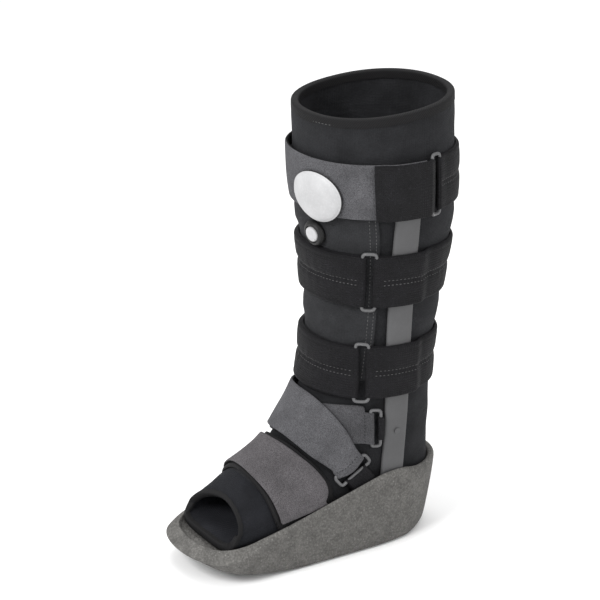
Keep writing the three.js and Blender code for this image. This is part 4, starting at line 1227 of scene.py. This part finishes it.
def rivet(side, label):
    """A low domed head that stands square on its bar."""
    deselect()
    bpy.ops.mesh.primitive_cylinder_add(vertices=24, radius=RIVET_RADIUS, depth=RIVET_HIGH)
    piece = bpy.context.object
    piece.name = f"rivet_head_{label}"
    bevel = piece.modifiers.new("dome", "BEVEL")
    bevel.width = RIVET_DOME
    bevel.segments = 4
    bpy.ops.object.modifier_apply(modifier=bevel.name)
    station, angle = (float(v) for v in place_at(BAR_MIDDLE, RIVET_HEIGHT))
    centre = Vector(on_liner(station, side * angle, CLOTH_GAP + BAR_THICK + RIVET_LIFT))
    outward = centre - Vector(on_liner(station, side * angle, 0.0))
    piece.rotation_euler = outward.to_track_quat("Z", "Y").to_euler()
    piece.location = centre
    bpy.ops.object.transform_apply(location=True, rotation=True, scale=True)
    return finish_piece(piece, bar_plastic, f"rivet_{label}")


SIDES = ((1, "lateral"), (-1, "medial"))
for side, label in SIDES:
    lay_strip(f"side_bar_{label}", 60, 8, bar_place(side), constant(CLOTH_GAP), constant(BAR_THICK),
              bar_plastic, f"upright_{label}", BAR_WIDTH, BAR_EDGE, lip=0.6)
for side, label in SIDES:
    rivet(side, label)

# %% [markdown]
# ## Front panel
# A padded flap closes the front of the shaft. It lies on the liner under all three calf straps
# and shows between them, with two rows of stitches along each side edge. The liner's rim has
# one row of stitches below its tape.

# %% Front panel
PANEL_THICK, PANEL_EDGE = 2 * MM, 1.2 * MM
PANEL_TOP, PANEL_BOTTOM, PANEL_ANGLE = 384 * MM, 176 * MM, 61 * DEGREE


def panel_place(along, across):
    angle = (2 * along - 1) * PANEL_ANGLE
    return station_at(angle, PANEL_BOTTOM + (PANEL_TOP - PANEL_BOTTOM) * across), angle


def flap_base(along, across, station, angle):
    return CLOTH_GAP + give(station, angle)


def rim_place(along, across):
    """Round the rim; across counts stations down from the edge."""
    return np.full(np.shape(along), 0.0) + across, TURN * along


flap = lay_strip("front_flap", 60, 110, panel_place, flap_base, constant(PANEL_THICK),
                 panel_knit, "front_panel", PANEL_TOP - PANEL_BOTTOM, PANEL_EDGE,
                 lip=0.5)
across_seams("front_flap_seam", flap, panel_place, (0.022, 0.06, 0.94, 0.978), FLAP_PITCH, thread,
             0.01, 0.99)
seam("rim_seam", liner, rim_place, 0.2, RIM_PITCH, thread, 0.0, 1.0)

# %% [markdown]
# ## Calf straps
# The middle and lower straps are one padded band each. A band starts at its ring, goes all
# round the leg and comes back to the ring, so over the front it is two layers thick. A line of
# stitching along the middle pulls the padding in and makes two soft ribs. The band's lift over
# the liner grows where it crosses the flap and the side bars.

# %% Sizes and the band's seat
BAND_THICK, SIDE_THICK = 6 * MM, 3.8 * MM  # two layers of padded strap, and one
BAND_FOLD, LOWER_LEAN = -84 * DEGREE, 7 * DEGREE
NOSE_THICK, NOSE_LENGTH = 6.2 * MM, 12 * MM
RING_WIRE, RING_SPAN = 3.2 * MM, 11.0  # the span in millimetres
RING_ANGLE, TOP_RING_ANGLE, TOP_SEAM = 48 * DEGREE, 98 * DEGREE, -106 * DEGREE


def seat(station, angle):
    """Lift of a strap's inner face: over the flap, over the side bars, on the liner behind."""
    y = liner_face(station, angle)[..., 1]
    climb_from, climb = BAR_WIDTH / 2 + 13 * MM, 9 * MM
    over_bar = np.clip((climb_from - np.abs(y - BAR_MIDDLE)) / climb, 0, 1)
    over_bar = ease(over_bar) * 0.3 + over_bar * 0.7
    start = np.where(y < BAR_MIDDLE, PANEL_THICK + CLOTH_GAP, 0)
    return CLOTH_GAP + start + (BAR_THICK + CLOTH_GAP - start) * over_bar


def level_place(first, last, top, lean=0.0):
    """Places of a level strap between two angles; lean keeps its columns upright low down."""
    def place(along, across):
        angle = first + (last - first) * along
        turned = angle + (0.5 - across) * lean * np.sin(angle)
        return station_at(turned, top - STRAP_HEIGHT * (1 - across)), turned
    return place


def seam_groove(across, at, width, depth):
    """How far stitching pulls the padding in, beside a line along the strap."""
    return 1 - depth * np.exp(-((across - at) / width) ** 2)


def ribbed(along, across):
    """Two soft ribs with a stitched groove between them, and small puckers along it. The
    folds at both ends stay full, because the webbing goes round a bar there."""
    pucker = 0.05 * np.sin(along * 260) * np.exp(-((across - 0.5) / 0.2) ** 2)
    edges = seam_groove(across, 0.1, 0.022, 0.12) * seam_groove(across, 0.9, 0.022, 0.12)
    cushions = 0.86 + 0.14 * np.abs(np.sin(2 * np.pi * across)) ** 0.6
    ribs = seam_groove(across, 0.5, 0.045, 0.4) * edges * cushions
    calm = np.clip(np.minimum(along, 1 - along) / 0.035 - 0.35, 0, 1)
    return 1 + (ribs + pucker - 1) * calm


def soft_waves(station, angle, amount):
    """The slight waves of a strap that is pulled tight over padding."""
    return amount * (np.sin(7 * angle + 2.1 * station) + 0.6 * np.sin(13 * angle - 3 * station)) / 1.6


in_front = float(seat(station_at(0.0, 0.28), np.array(0.0)))
print("a band lies", round(in_front / MM, 1), "mm off the liner in front")

# %% [markdown]
# ## The fold round a ring
# Where a strap goes round a ring's bar it makes a round nose, and both layers are stitched
# together behind it. The nose is only a thickness that falls to nothing at the tip, and a lift
# that keeps it centred on the bar.


# %% Middle and lower band
BAND_EDGE = 3.4 * MM
MIDDLE_SEAMS = (0.455, 0.545)
BAND_SEAMS = [(0.12, dark_thread), *((at, thread) for at in MIDDLE_SEAMS), (0.88, dark_thread)]


def nose_thickness(distance, thick):
    """The rounded end of a folded strap, from its distance to the tip."""
    inward = np.clip(1 - distance / (thick / 2), 0, 1)
    return thick * np.sqrt(np.clip(1 - inward ** 2, 0.02, 1))


def nose_lift(distance):
    """Lift that keeps a thinning nose centred on its bar."""
    return (NOSE_THICK - nose_thickness(distance, NOSE_THICK)) / 2 * (distance < NOSE_THICK / 2)


def loop_band(label, top, lean):
    """A band from one bar of its ring, round the leg, to the other bar."""
    height = top - STRAP_HEIGHT / 2
    first_bar = RING_ANGLE
    second_bar = first_bar + girth(RING_SPAN, first_bar, height)
    half_nose = girth(NOSE_THICK / MM / 2, first_bar, height)
    first = first_bar + half_nose
    last = second_bar - half_nose - TURN
    radian = 1 / girth(1.0, first_bar, height) * MM

    def thickness(along, across):
        angle = first + (last - first) * along
        from_first = (first - angle) * radian
        from_last = (angle - last) * radian
        layers = np.clip((angle - (BAND_FOLD - 3 * DEGREE)) / (3 * DEGREE), 0, 1)
        single = SIDE_THICK + (BAND_THICK - SIDE_THICK) * np.clip(1 - from_last / NOSE_LENGTH, 0, 1)
        thick = single + (BAND_THICK - single) * layers
        return np.minimum(thick, nose_thickness(np.minimum(from_first, from_last), BAND_THICK))

    def base(along, across, station, angle):
        centred = (BAND_THICK - thickness(along, across)) / 2
        near_end = np.minimum((first - angle), (angle - last)) * radian < BAND_THICK / 2
        return seat(station, angle) + np.where(near_end, centred, 0) + soft_waves(station, angle, 0.15 * MM)

    place = level_place(first, last, top, lean)
    band = lay_strip(f"{label}_band", 190, 26, place, base, thickness, black_webbing, f"{label}_strap",
                     STRAP_HEIGHT, BAND_EDGE, profile=ribbed)
    for order, (at, material) in enumerate(BAND_SEAMS):
        seam(f"{label}_band_seam_{order}", band, place, at, BAND_PITCH, material)

# %% [markdown]
# ## Rings
# A ring is a closed wire frame: two long bars joined by short ones, with rounded corners. A
# curve through the corners is given a round bevel and turned into a mesh. On the leg the long
# bars follow the bend of the strap's fold, so each point of the curve is seated there first.


# %% Rings on the shaft
CORNER_SHARE = 0.32  # of the shorter side, where a corner starts to turn


def corner_path(corners):
    """A closed path through four corners, rounded."""
    path = []
    for i, corner in enumerate(corners):
        before, after = corners[i - 1], corners[(i + 1) % 4]
        reach = CORNER_SHARE * min((corner - before).length, (corner - after).length)
        start = corner + (before - corner).normalized() * reach
        end = corner + (after - corner).normalized() * reach
        for t in np.linspace(0, 1, 7):
            path.append(start * (1 - t) ** 2 + corner * 2 * t * (1 - t) + end * t * t)
        path += [corner.lerp(after, s) for s in (0.35, 0.5, 0.65)]
    return path


def wire_frame(label, corners, seated):
    """A ring's round wire through four corners, each point seated on the boot."""
    name = f"{label}_ring_frame"
    path = [seated(point) for point in corner_path(corners)]
    deselect()
    curve = bpy.data.curves.new(name, "CURVE")
    curve.dimensions = "3D"
    spline = curve.splines.new("POLY")
    spline.points.add(len(path) - 1)
    for point, place in zip(spline.points, path):
        point.co = (*place, 1)
    spline.use_cyclic_u = True
    curve.bevel_depth = RING_WIRE / 2
    curve.bevel_resolution = 4
    piece = bpy.data.objects.new(name, curve)
    bpy.context.scene.collection.objects.link(piece)
    pick(piece)
    bpy.ops.object.convert(target="MESH")
    return finish_piece(bpy.context.object, ring_plastic, f"{label}_ring")


def shaft_ring(label, bar, top, lean, thick):
    """Two bars along the strap's fold: x is the way round the leg, z the height."""
    middle = top - STRAP_HEIGHT / 2
    a_millimetre = girth(1.0, bar, middle)
    beyond = CLOTH_GAP + RING_WIRE / 2
    low, high = top - STRAP_HEIGHT - beyond, top + beyond
    span = RING_SPAN * MM

    def seated(point):
        angle = bar + point.x / MM * a_millimetre
        turned = angle + ((top - point.z) / STRAP_HEIGHT - 0.5) * lean * math.sin(angle)
        lift = float(seat(station_at(angle, middle), np.array(angle))) + thick / 2
        return Vector(on_liner(station_at(turned, point.z), turned, lift))

    corners = [Vector((x, 0, z)) for x, z in ((0, low), (span, low), (span, high), (0, high))]
    wire_frame(label, corners, seated)


shaft_ring("middle", RING_ANGLE, MIDDLE_TOP, 0.0, BAND_THICK)
shaft_ring("lower", RING_ANGLE, LOWER_TOP, LOWER_LEAN, BAND_THICK)
shaft_ring("top", TOP_RING_ANGLE, TOP_TOP, 0.0, NOSE_THICK)
loop_band("middle", MIDDLE_TOP, 0.0)
loop_band("lower", LOWER_TOP, LOWER_LEAN)

# %% [markdown]
# ## Top strap
# The top strap has three parts: a wide grey felt that carries the pump, a black tab that goes
# through the ring and folds back on itself over the felt, and a black band round the calf. All
# three are measured from the ring's bars, so they are drawn after its place is known.

# %% Top strap
GREY_THICK, TAB_THICK, TAB_EDGE = 3.4 * MM, 3.2 * MM, 59 * DEGREE
TAB_CLIMB = 2.4 * DEGREE  # over which the tab climbs onto the felt
FELT_EDGE, TAB_CORNER, SIDE_EDGE = 1.0 * MM, 1.4 * MM, 1.8 * MM
TIGHT_WAVES = 0.12 * MM

top_middle = TOP_TOP - STRAP_HEIGHT / 2
second_bar = TOP_RING_ANGLE + girth(RING_SPAN, TOP_RING_ANGLE, top_middle)
half_nose = girth(NOSE_THICK / MM / 2, TOP_RING_ANGLE, top_middle)
felt_end = TOP_RING_ANGLE - half_nose - girth(3, TOP_RING_ANGLE, top_middle)
radian = MM / girth(1.0, TOP_RING_ANGLE, top_middle)


def felt_base(along, across, station, angle):
    return seat(station, angle) + soft_waves(station, angle, TIGHT_WAVES)


def top_felt():
    place = level_place(TOP_SEAM, felt_end, TOP_TOP)
    felt = lay_strip("top_felt", 110, 18, place, felt_base, constant(GREY_THICK), grey_felt,
                     "top_strap_front", STRAP_HEIGHT, FELT_EDGE, lip=0.7,
                     edge_material=foam_and_shade_edge)
    across_seams("top_felt_seam", felt, place, (0.015, 0.035), FELT_PITCH, dark_thread)


def top_tab():
    tip = TOP_RING_ANGLE + half_nose

    def base(along, across, station, angle):
        over = np.clip((felt_end + 3.2 * DEGREE - angle) / TAB_CLIMB, 0, 1)
        return seat(station, angle) + over * (GREY_THICK + CLOTH_GAP) + nose_lift((tip - angle) * radian)

    def thickness(along, across):
        angle = TAB_EDGE + (tip - TAB_EDGE) * along
        doubled = np.clip((angle - felt_end - 0.8 * DEGREE) / TAB_CLIMB, 0, 1)
        thick = TAB_THICK + (NOSE_THICK - TAB_THICK) * doubled
        thick = np.minimum(thick, nose_thickness((tip - angle) * radian, NOSE_THICK))
        free_edge = nose_thickness((angle - TAB_EDGE) * radian + 0.5 * MM, TAB_THICK)
        return np.where(along < 0.2, np.minimum(thick, free_edge), thick)

    lay_strip("top_tab", 60, 18, level_place(TAB_EDGE, tip, TOP_TOP), base, thickness, tab_webbing,
              "top_strap_tab", STRAP_HEIGHT, TAB_CORNER, lip=0.4)


def top_side_band():
    start = second_bar - half_nose
    end = TOP_SEAM + TURN - girth(1.6, math.pi, top_middle)

    def base(along, across, station, angle):
        return seat(station, angle) + nose_lift((angle - start) * radian)

    def thickness(along, across):
        distance = (end - start) * along * radian
        thick = SIDE_THICK + (NOSE_THICK - SIDE_THICK) * np.clip(1 - distance / NOSE_LENGTH, 0, 1)
        return np.minimum(thick, nose_thickness(distance, NOSE_THICK))

    place = level_place(start, end, TOP_TOP)
    band = lay_strip("top_side_band", 90, 22, place, base, thickness, black_webbing,
                     "top_strap_side", STRAP_HEIGHT, SIDE_EDGE,
                     profile=ribbed)
    for order, at in enumerate(MIDDLE_SEAMS):
        seam(f"top_side_band_seam_{order}", band, place, at, BAND_PITCH, thread)


top_felt()
top_tab()
top_side_band()

# %% [markdown]
# ## Pump and valve
# A blank white rubber disc pumps air into the liner, and a small valve below lets it out. Both
# are round pieces that sit on a curved leg: a flat disc is modelled with inset rings, and its
# points are then laid on the leg, so that the seat follows the curve.

# %% Pump disc and valve
ROUND_TURNS = 48
DISC_ANGLE, DISC_HEIGHT, DISC_STRETCH = 16 * DEGREE, 358 * MM, 1.12
ON_PANEL = CLOTH_GAP + PANEL_THICK + CLOTH_GAP
DISC_SEAT = ON_PANEL + GREY_THICK + 1.1 * MM
CAP_SEAT = ON_PANEL + 4.0 * MM
# Radius and rise of each ring, in millimetres, from the seat up
DISC_PROFILE = [(21.5, 0), (23.0, 0.1), (23.9, 0.5), (24.0, 1.2), (23.2, 1.9), (22.7, 2.2), (22.3, 2.3),
                (21.4, 3.6), (19, 4.7), (15, 5.4), (10, 5.8), (5, 5.95), (1, 6.0)]
DISC_FOOT_RINGS = 4
VALVE_PROFILE = [(11.0, 0), (12.3, 0.3), (12.5, 1.2), (12.3, 2.4), (11.4, 4.4), (10.6, 5.6), (9.8, 6.0),
                 (8.6, 6.0), (8.1, 5.8), (8.0, 4.6), (7.8, 3.7)]
CAP_PROFILE = [(6.4, 0), (7.1, 0.2), (7.25, 1.0), (7.1, 2.2), (6.6, 3.1), (5.6, 3.7), (4, 3.95), (1, 4.0)]


def round_piece(name, angle, height, profile, base, material, cad, stretch=1.0, foot=None):
    """A disc laid on the leg round a place. Its lowest rings may be of another material."""
    step = 10 * MM
    piece = ring_stack(name, ROUND_TURNS, len(profile), 1, step)
    co = points(piece)
    level = np.rint(co[:, 2] / step).astype(int)
    turn = np.arctan2(co[:, 1], co[:, 0])
    radius, rise = (np.array(column)[level] * MM for column in zip(*profile))
    a_millimetre = girth(1.0, angle, height)
    place = angle + stretch * radius / MM * np.cos(turn) * a_millimetre
    move_points(piece, on_liner(station_at(place, height + radius * np.sin(turn)), place, base + rise))
    close_ends(piece)
    if foot is not None:
        in_foot = [int(max(level[v] for v in f.vertices) <= DISC_FOOT_RINGS) for f in piece.data.polygons]
        two_finishes(piece, material, foot, in_foot)
    return finish_piece(piece, material, cad, 1)


round_piece("pump_disc", DISC_ANGLE, DISC_HEIGHT, DISC_PROFILE, DISC_SEAT, disc_rubber,
            "pump_bulb", DISC_STRETCH, valve_plastic)
round_piece("valve_ring", VALVE_ANGLE, VALVE_HEIGHT, VALVE_PROFILE, ON_PANEL, valve_plastic,
            "valve_housing")
round_piece("valve_cap", VALVE_ANGLE, VALVE_HEIGHT, CAP_PROFILE, CAP_SEAT, disc_rubber,
            "valve_button")

# %% [markdown]
# ## Foot straps
# Two grey straps cross over the instep, each from a ring beside the ankle. Further on, a thin
# pad with bound edges lies over the front of the foot, and a wide grey strap over the pad. Such
# a strap is not level: its front and rear edge are rows of places on the liner, along the
# strap, with a smooth curve between them.


# %% Straps with free edges
def smooth_rows(rows, t):
    """Values between rows, on a smooth curve through them; the rows are evenly spaced."""
    table = np.array(rows, float)
    at = t * (len(table) - 1)
    i = np.clip(np.floor(at).astype(int), 0, len(table) - 2)
    u = (at - i)[..., None]
    a, b, c, d = (table[np.clip(i + k, 0, len(table) - 1)] for k in (-1, 0, 1, 2))
    return 0.5 * (2 * b + (c - a) * u + (2 * a - 5 * b + 4 * c - d) * u ** 2
                  + (3 * b - a - 3 * c + d) * u ** 3)


def rows_place(rows):
    """rows: angle and station of the front edge, angle and station of the rear edge."""
    def place(along, across):
        v = smooth_rows(rows, along)
        station = v[..., 1] + (v[..., 3] - v[..., 1]) * across
        angle = (v[..., 0] + (v[..., 2] - v[..., 0]) * across) * DEGREE
        return station, angle
    return place


def foot_rows(table):
    """The same rows from an angle and the stations of the rear and the front edge there."""
    return [(turn, front, turn, rear) for turn, rear, front in table]


print("edges of the foot straps are rows of places")

# %% [markdown]
# ## Pad and strap over the front of the foot
# The pad is soft and bound in tape, so it gets a cushion's radius. The felt above it is cut
# with a knife, so its edge is nearly square. Its edge faces are near-black: the dark foam
# inside, and painted shade along the strap's edge.

# %% Forefoot pad and strap
PAD_THICK, FOREFOOT_THICK = 3 * MM, 3 * MM
FOOT_STRAP_WIDTH, PAD_EDGE = 45 * MM, 1.6 * MM
FOREFOOT_SEAT = CLOTH_GAP + PAD_THICK + CLOTH_GAP
pad_rows = foot_rows([
    (-97, 12.9, 14.8), (-80, 12.3, 14.8), (-50, 11.35, 14.75), (-20, 10.75, 14.5), (5, 10.55, 14.45),
    (24, 10.6, 14.5), (45, 11.25, 14.65), (72, 12.4, 14.85), (97, 13.2, 14.92),
])
forefoot_rows = foot_rows([
    (-91, 13.0, 14.65), (-78, 12.5, 14.65), (-50, 11.75, 14.55), (-20, 11.15, 14.3), (5, 10.95, 14.25),
    (24, 11.0, 14.35), (45, 11.6, 14.5), (72, 12.65, 14.72), (91, 13.35, 14.8),
])


def forefoot_base(along, across, station, angle):
    return FOREFOOT_SEAT + soft_waves(station, angle * 1.4, TIGHT_WAVES)


lay_strip("forefoot_cushion", 90, 24, rows_place(pad_rows), constant(CLOTH_GAP), constant(PAD_THICK),
          black_tape, "forefoot_pad", FOOT_STRAP_WIDTH, PAD_EDGE)
forefoot_felt = lay_strip("forefoot_felt", 90, 18, rows_place(forefoot_rows), forefoot_base,
                          constant(FOREFOOT_THICK), warm_felt, "forefoot_strap",
                          FOOT_STRAP_WIDTH, FELT_EDGE, lip=0.65, edge_material=foam_and_shade_edge)
across_seams("forefoot_felt_seam", forefoot_felt, rows_place(forefoot_rows), (0.03, 0.06),
             FELT_PITCH, dark_thread)

# %% [markdown]
# ## Ankle straps
# Two rings lie beside the ankle. Each holds a grey strap on its front bar and a short black
# webbing link on its rear bar. The rings are placed in the side view, where they can be read
# off, and then laid on the liner. The inner strap comes first, and the outer one crosses it.

# %% Ankle rings
ANKLE_THICK, BAR_LIFT, ANKLE_WIDTH = 3.2 * MM, 3.1 * MM, 48 * MM
# Both ends of each bar: y as a share of the toe's reach, z of the ankle's height
HIGH_SHARES = dict(front=((-0.162, 0.675), (-0.1675, 0.902)), rear=((-0.1125, 0.669), (-0.1155, 0.896)))
LOW_SHARES = dict(front=((-0.3625, 0.497), (-0.198, 0.632)), rear=((-0.324, 0.442), (-0.162, 0.577)))


def ring_places(shares):
    """The ends of a ring's bars in the side view, in millimetres."""
    return {bar: tuple((y * TOE_REACH / MM, z * ANKLE_HEIGHT / MM) for y, z in ends)
            for bar, ends in shares.items()}


def ankle_ring(label, ring):
    def seated(point):
        station, angle = place_at(point.y, point.z)
        return Vector(on_liner(station, angle, CLOTH_GAP + BAR_LIFT))

    corners = [ring["front"][0], ring["rear"][0], ring["rear"][1], ring["front"][1]]
    wire_frame(f"{label}_ankle", [Vector((0, y * MM, z * MM)) for y, z in corners], seated)


high_ring, low_ring = ring_places(HIGH_SHARES), ring_places(LOW_SHARES)
ankle_ring("high", high_ring)
ankle_ring("low", low_ring)

# %% [markdown]
# ## The two ankle straps
# Each strap wraps its bar in a round nose and then follows its own rows of places over the
# instep to the other side. Near the nose the two edges run straight out from the bar, so the
# strap leaves its ring squarely.


# %% Ankle straps
FOLD = 0.16  # share of the strap's length that makes the nose
BEYOND_NOSE = 2.0  # how far the strap runs straight beyond it, in millimetres
HALF_NOSE = NOSE_THICK / MM / 2


def beside_bar(ring, bar, share, beyond):
    """Station and angle beyond a bar of a ring, at a share of its length."""
    (ay, az), (by, bz) = ring[bar]
    (cy, cz), (dy, dz) = ring["rear" if bar == "front" else "front"]
    away = np.array([ay + by - cy - dy, az + bz - cz - dz])
    away = away / np.linalg.norm(away)
    y = ay + (by - ay) * share + away[0] * beyond
    z = az + (bz - az) * share + away[1] * beyond
    return place_at(y * MM, z * MM)


def ankle_strap(label, ring, rows, lift, material):
    """A felt strap from its ring's front bar over the instep."""
    def ends(beyond):
        return (beside_bar(ring, "front", share, beyond) for share in (0.06, 0.94))

    (low_s, low_a), (high_s, high_a) = ends(np.array([HALF_NOSE + BEYOND_NOSE]))
    start = (low_a[0] / DEGREE, low_s[0], high_a[0] / DEGREE, high_s[0])
    far = rows_place([start] + rows)

    def from_tip(along):
        """Millimetres from the nose's tip, as far as the strap runs straight."""
        return (2 * HALF_NOSE + BEYOND_NOSE) * np.clip(along / FOLD, 0, 1)

    def place(along, across):
        (low_s, low_a), (high_s, high_a) = ends(from_tip(along) - HALF_NOSE)
        near_s, near_a = low_s + (high_s - low_s) * across, low_a + (high_a - low_a) * across
        far_s, far_a = far(np.clip((along - FOLD) / (1 - FOLD), 0, 1), across)
        past = along > FOLD
        return np.where(past, far_s, near_s), np.where(past, far_a, near_a)

    def blend(along):
        return ease((along - FOLD * 0.55) / (FOLD * 0.6))

    def thickness(along, across):
        thick = NOSE_THICK + (ANKLE_THICK - NOSE_THICK) * blend(along)
        return np.minimum(thick, nose_thickness(from_tip(along) * MM, NOSE_THICK))

    def base(along, across, station, angle):
        settle = CLOTH_GAP + (lift - CLOTH_GAP) * blend(along)
        return settle + nose_lift(from_tip(along) * MM) + soft_waves(station, angle * 1.3, TIGHT_WAVES)

    name = f"{label}_ankle_felt"
    strap = lay_strip(name, 90, 18, place, base, thickness, material, f"{label}_ankle_strap",
                      ANKLE_WIDTH, FELT_EDGE, lip=0.6, edge_material=foam_and_shade_edge)
    across_seams(f"{name}_seam", strap, place, (0.17, 0.955, 0.98), FELT_PITCH, dark_thread)


# Angle and station of the front edge, angle and station of the rear edge
HIGH_ROWS = [(62, 9.15, 60, 7.35), (40, 9.6, 40, 7.45), (18, 9.95, 18, 7.7), (-5, 10.2, -5, 8.2),
             (-30, 10.5, -30, 8.9), (-55, 10.9, -55, 9.6), (-76, 11.2, -76, 10.1)]
LOW_ROWS = [(60, 11.35, 60, 8.65), (45, 10.95, 45, 8.05), (28, 10.45, 30, 7.65), (12, 10.2, 12, 7.4),
            (-10, 10.2, -10, 7.35), (-40, 10.1, -40, 7.4), (-66, 9.75, -64, 7.45), (-82, 9.4, -78, 7.5)]
OVER_HIGH_STRAP = CLOTH_GAP + ANKLE_THICK + 1.2 * MM
ankle_strap("high", high_ring, HIGH_ROWS, CLOTH_GAP, dark_felt)
ankle_strap("low", low_ring, LOW_ROWS, OVER_HIGH_STRAP, grey_felt)

# %% [markdown]
# ## Webbing links
# A link is a short loop of webbing from a ring's rear bar towards the sole or the side bar,
# where its end is hidden.


# %% Webbing links
LINK_EDGE = 1.4 * MM


def webbing_link(label, ring, first, last, reach):
    """A loop round the rear bar, between two shares of its length, reaching back in millimetres."""
    def place(along, across):
        beyond = (HALF_NOSE + reach) * along - HALF_NOSE
        ends = (beside_bar(ring, "rear", share, beyond) for share in (first, last))
        (low_s, low_a), (high_s, high_a) = ends
        return low_s + (high_s - low_s) * across, low_a + (high_a - low_a) * across

    def thickness(along, across):
        return nose_thickness(along * (HALF_NOSE + reach) * MM, NOSE_THICK)

    def base(along, across, station, angle):
        return CLOTH_GAP + (NOSE_THICK - thickness(along, across)) / 2

    length = math.dist(*ring["rear"]) * (last - first) * MM
    lay_strip(f"{label}_webbing_link", 16, 14, place, base, thickness, black_webbing,
              f"{label}_ankle_link", length, LINK_EDGE)


webbing_link("high", high_ring, 0.16, 0.84, 2.6)
webbing_link("low", low_ring, 0.14, 0.86, 15.0)

# %% [markdown]
# ## The floor's finish
# The floor is plain pale paper. Two near whites, in wide soft clouds, keep it from looking
# like a flat fill.

# %% Floor's finish
PAPER = [(0.3, (0.86, 0.86, 0.86)), (0.7, (0.88, 0.88, 0.88))]
floor_finish = Finish("floor_paper", 0.9, 0.1)
floor_finish.colour(floor_finish.ramp(floor_finish.noise(3), *PAPER))
floor.data.materials.append(floor_finish.material)
print("floor of pale paper")
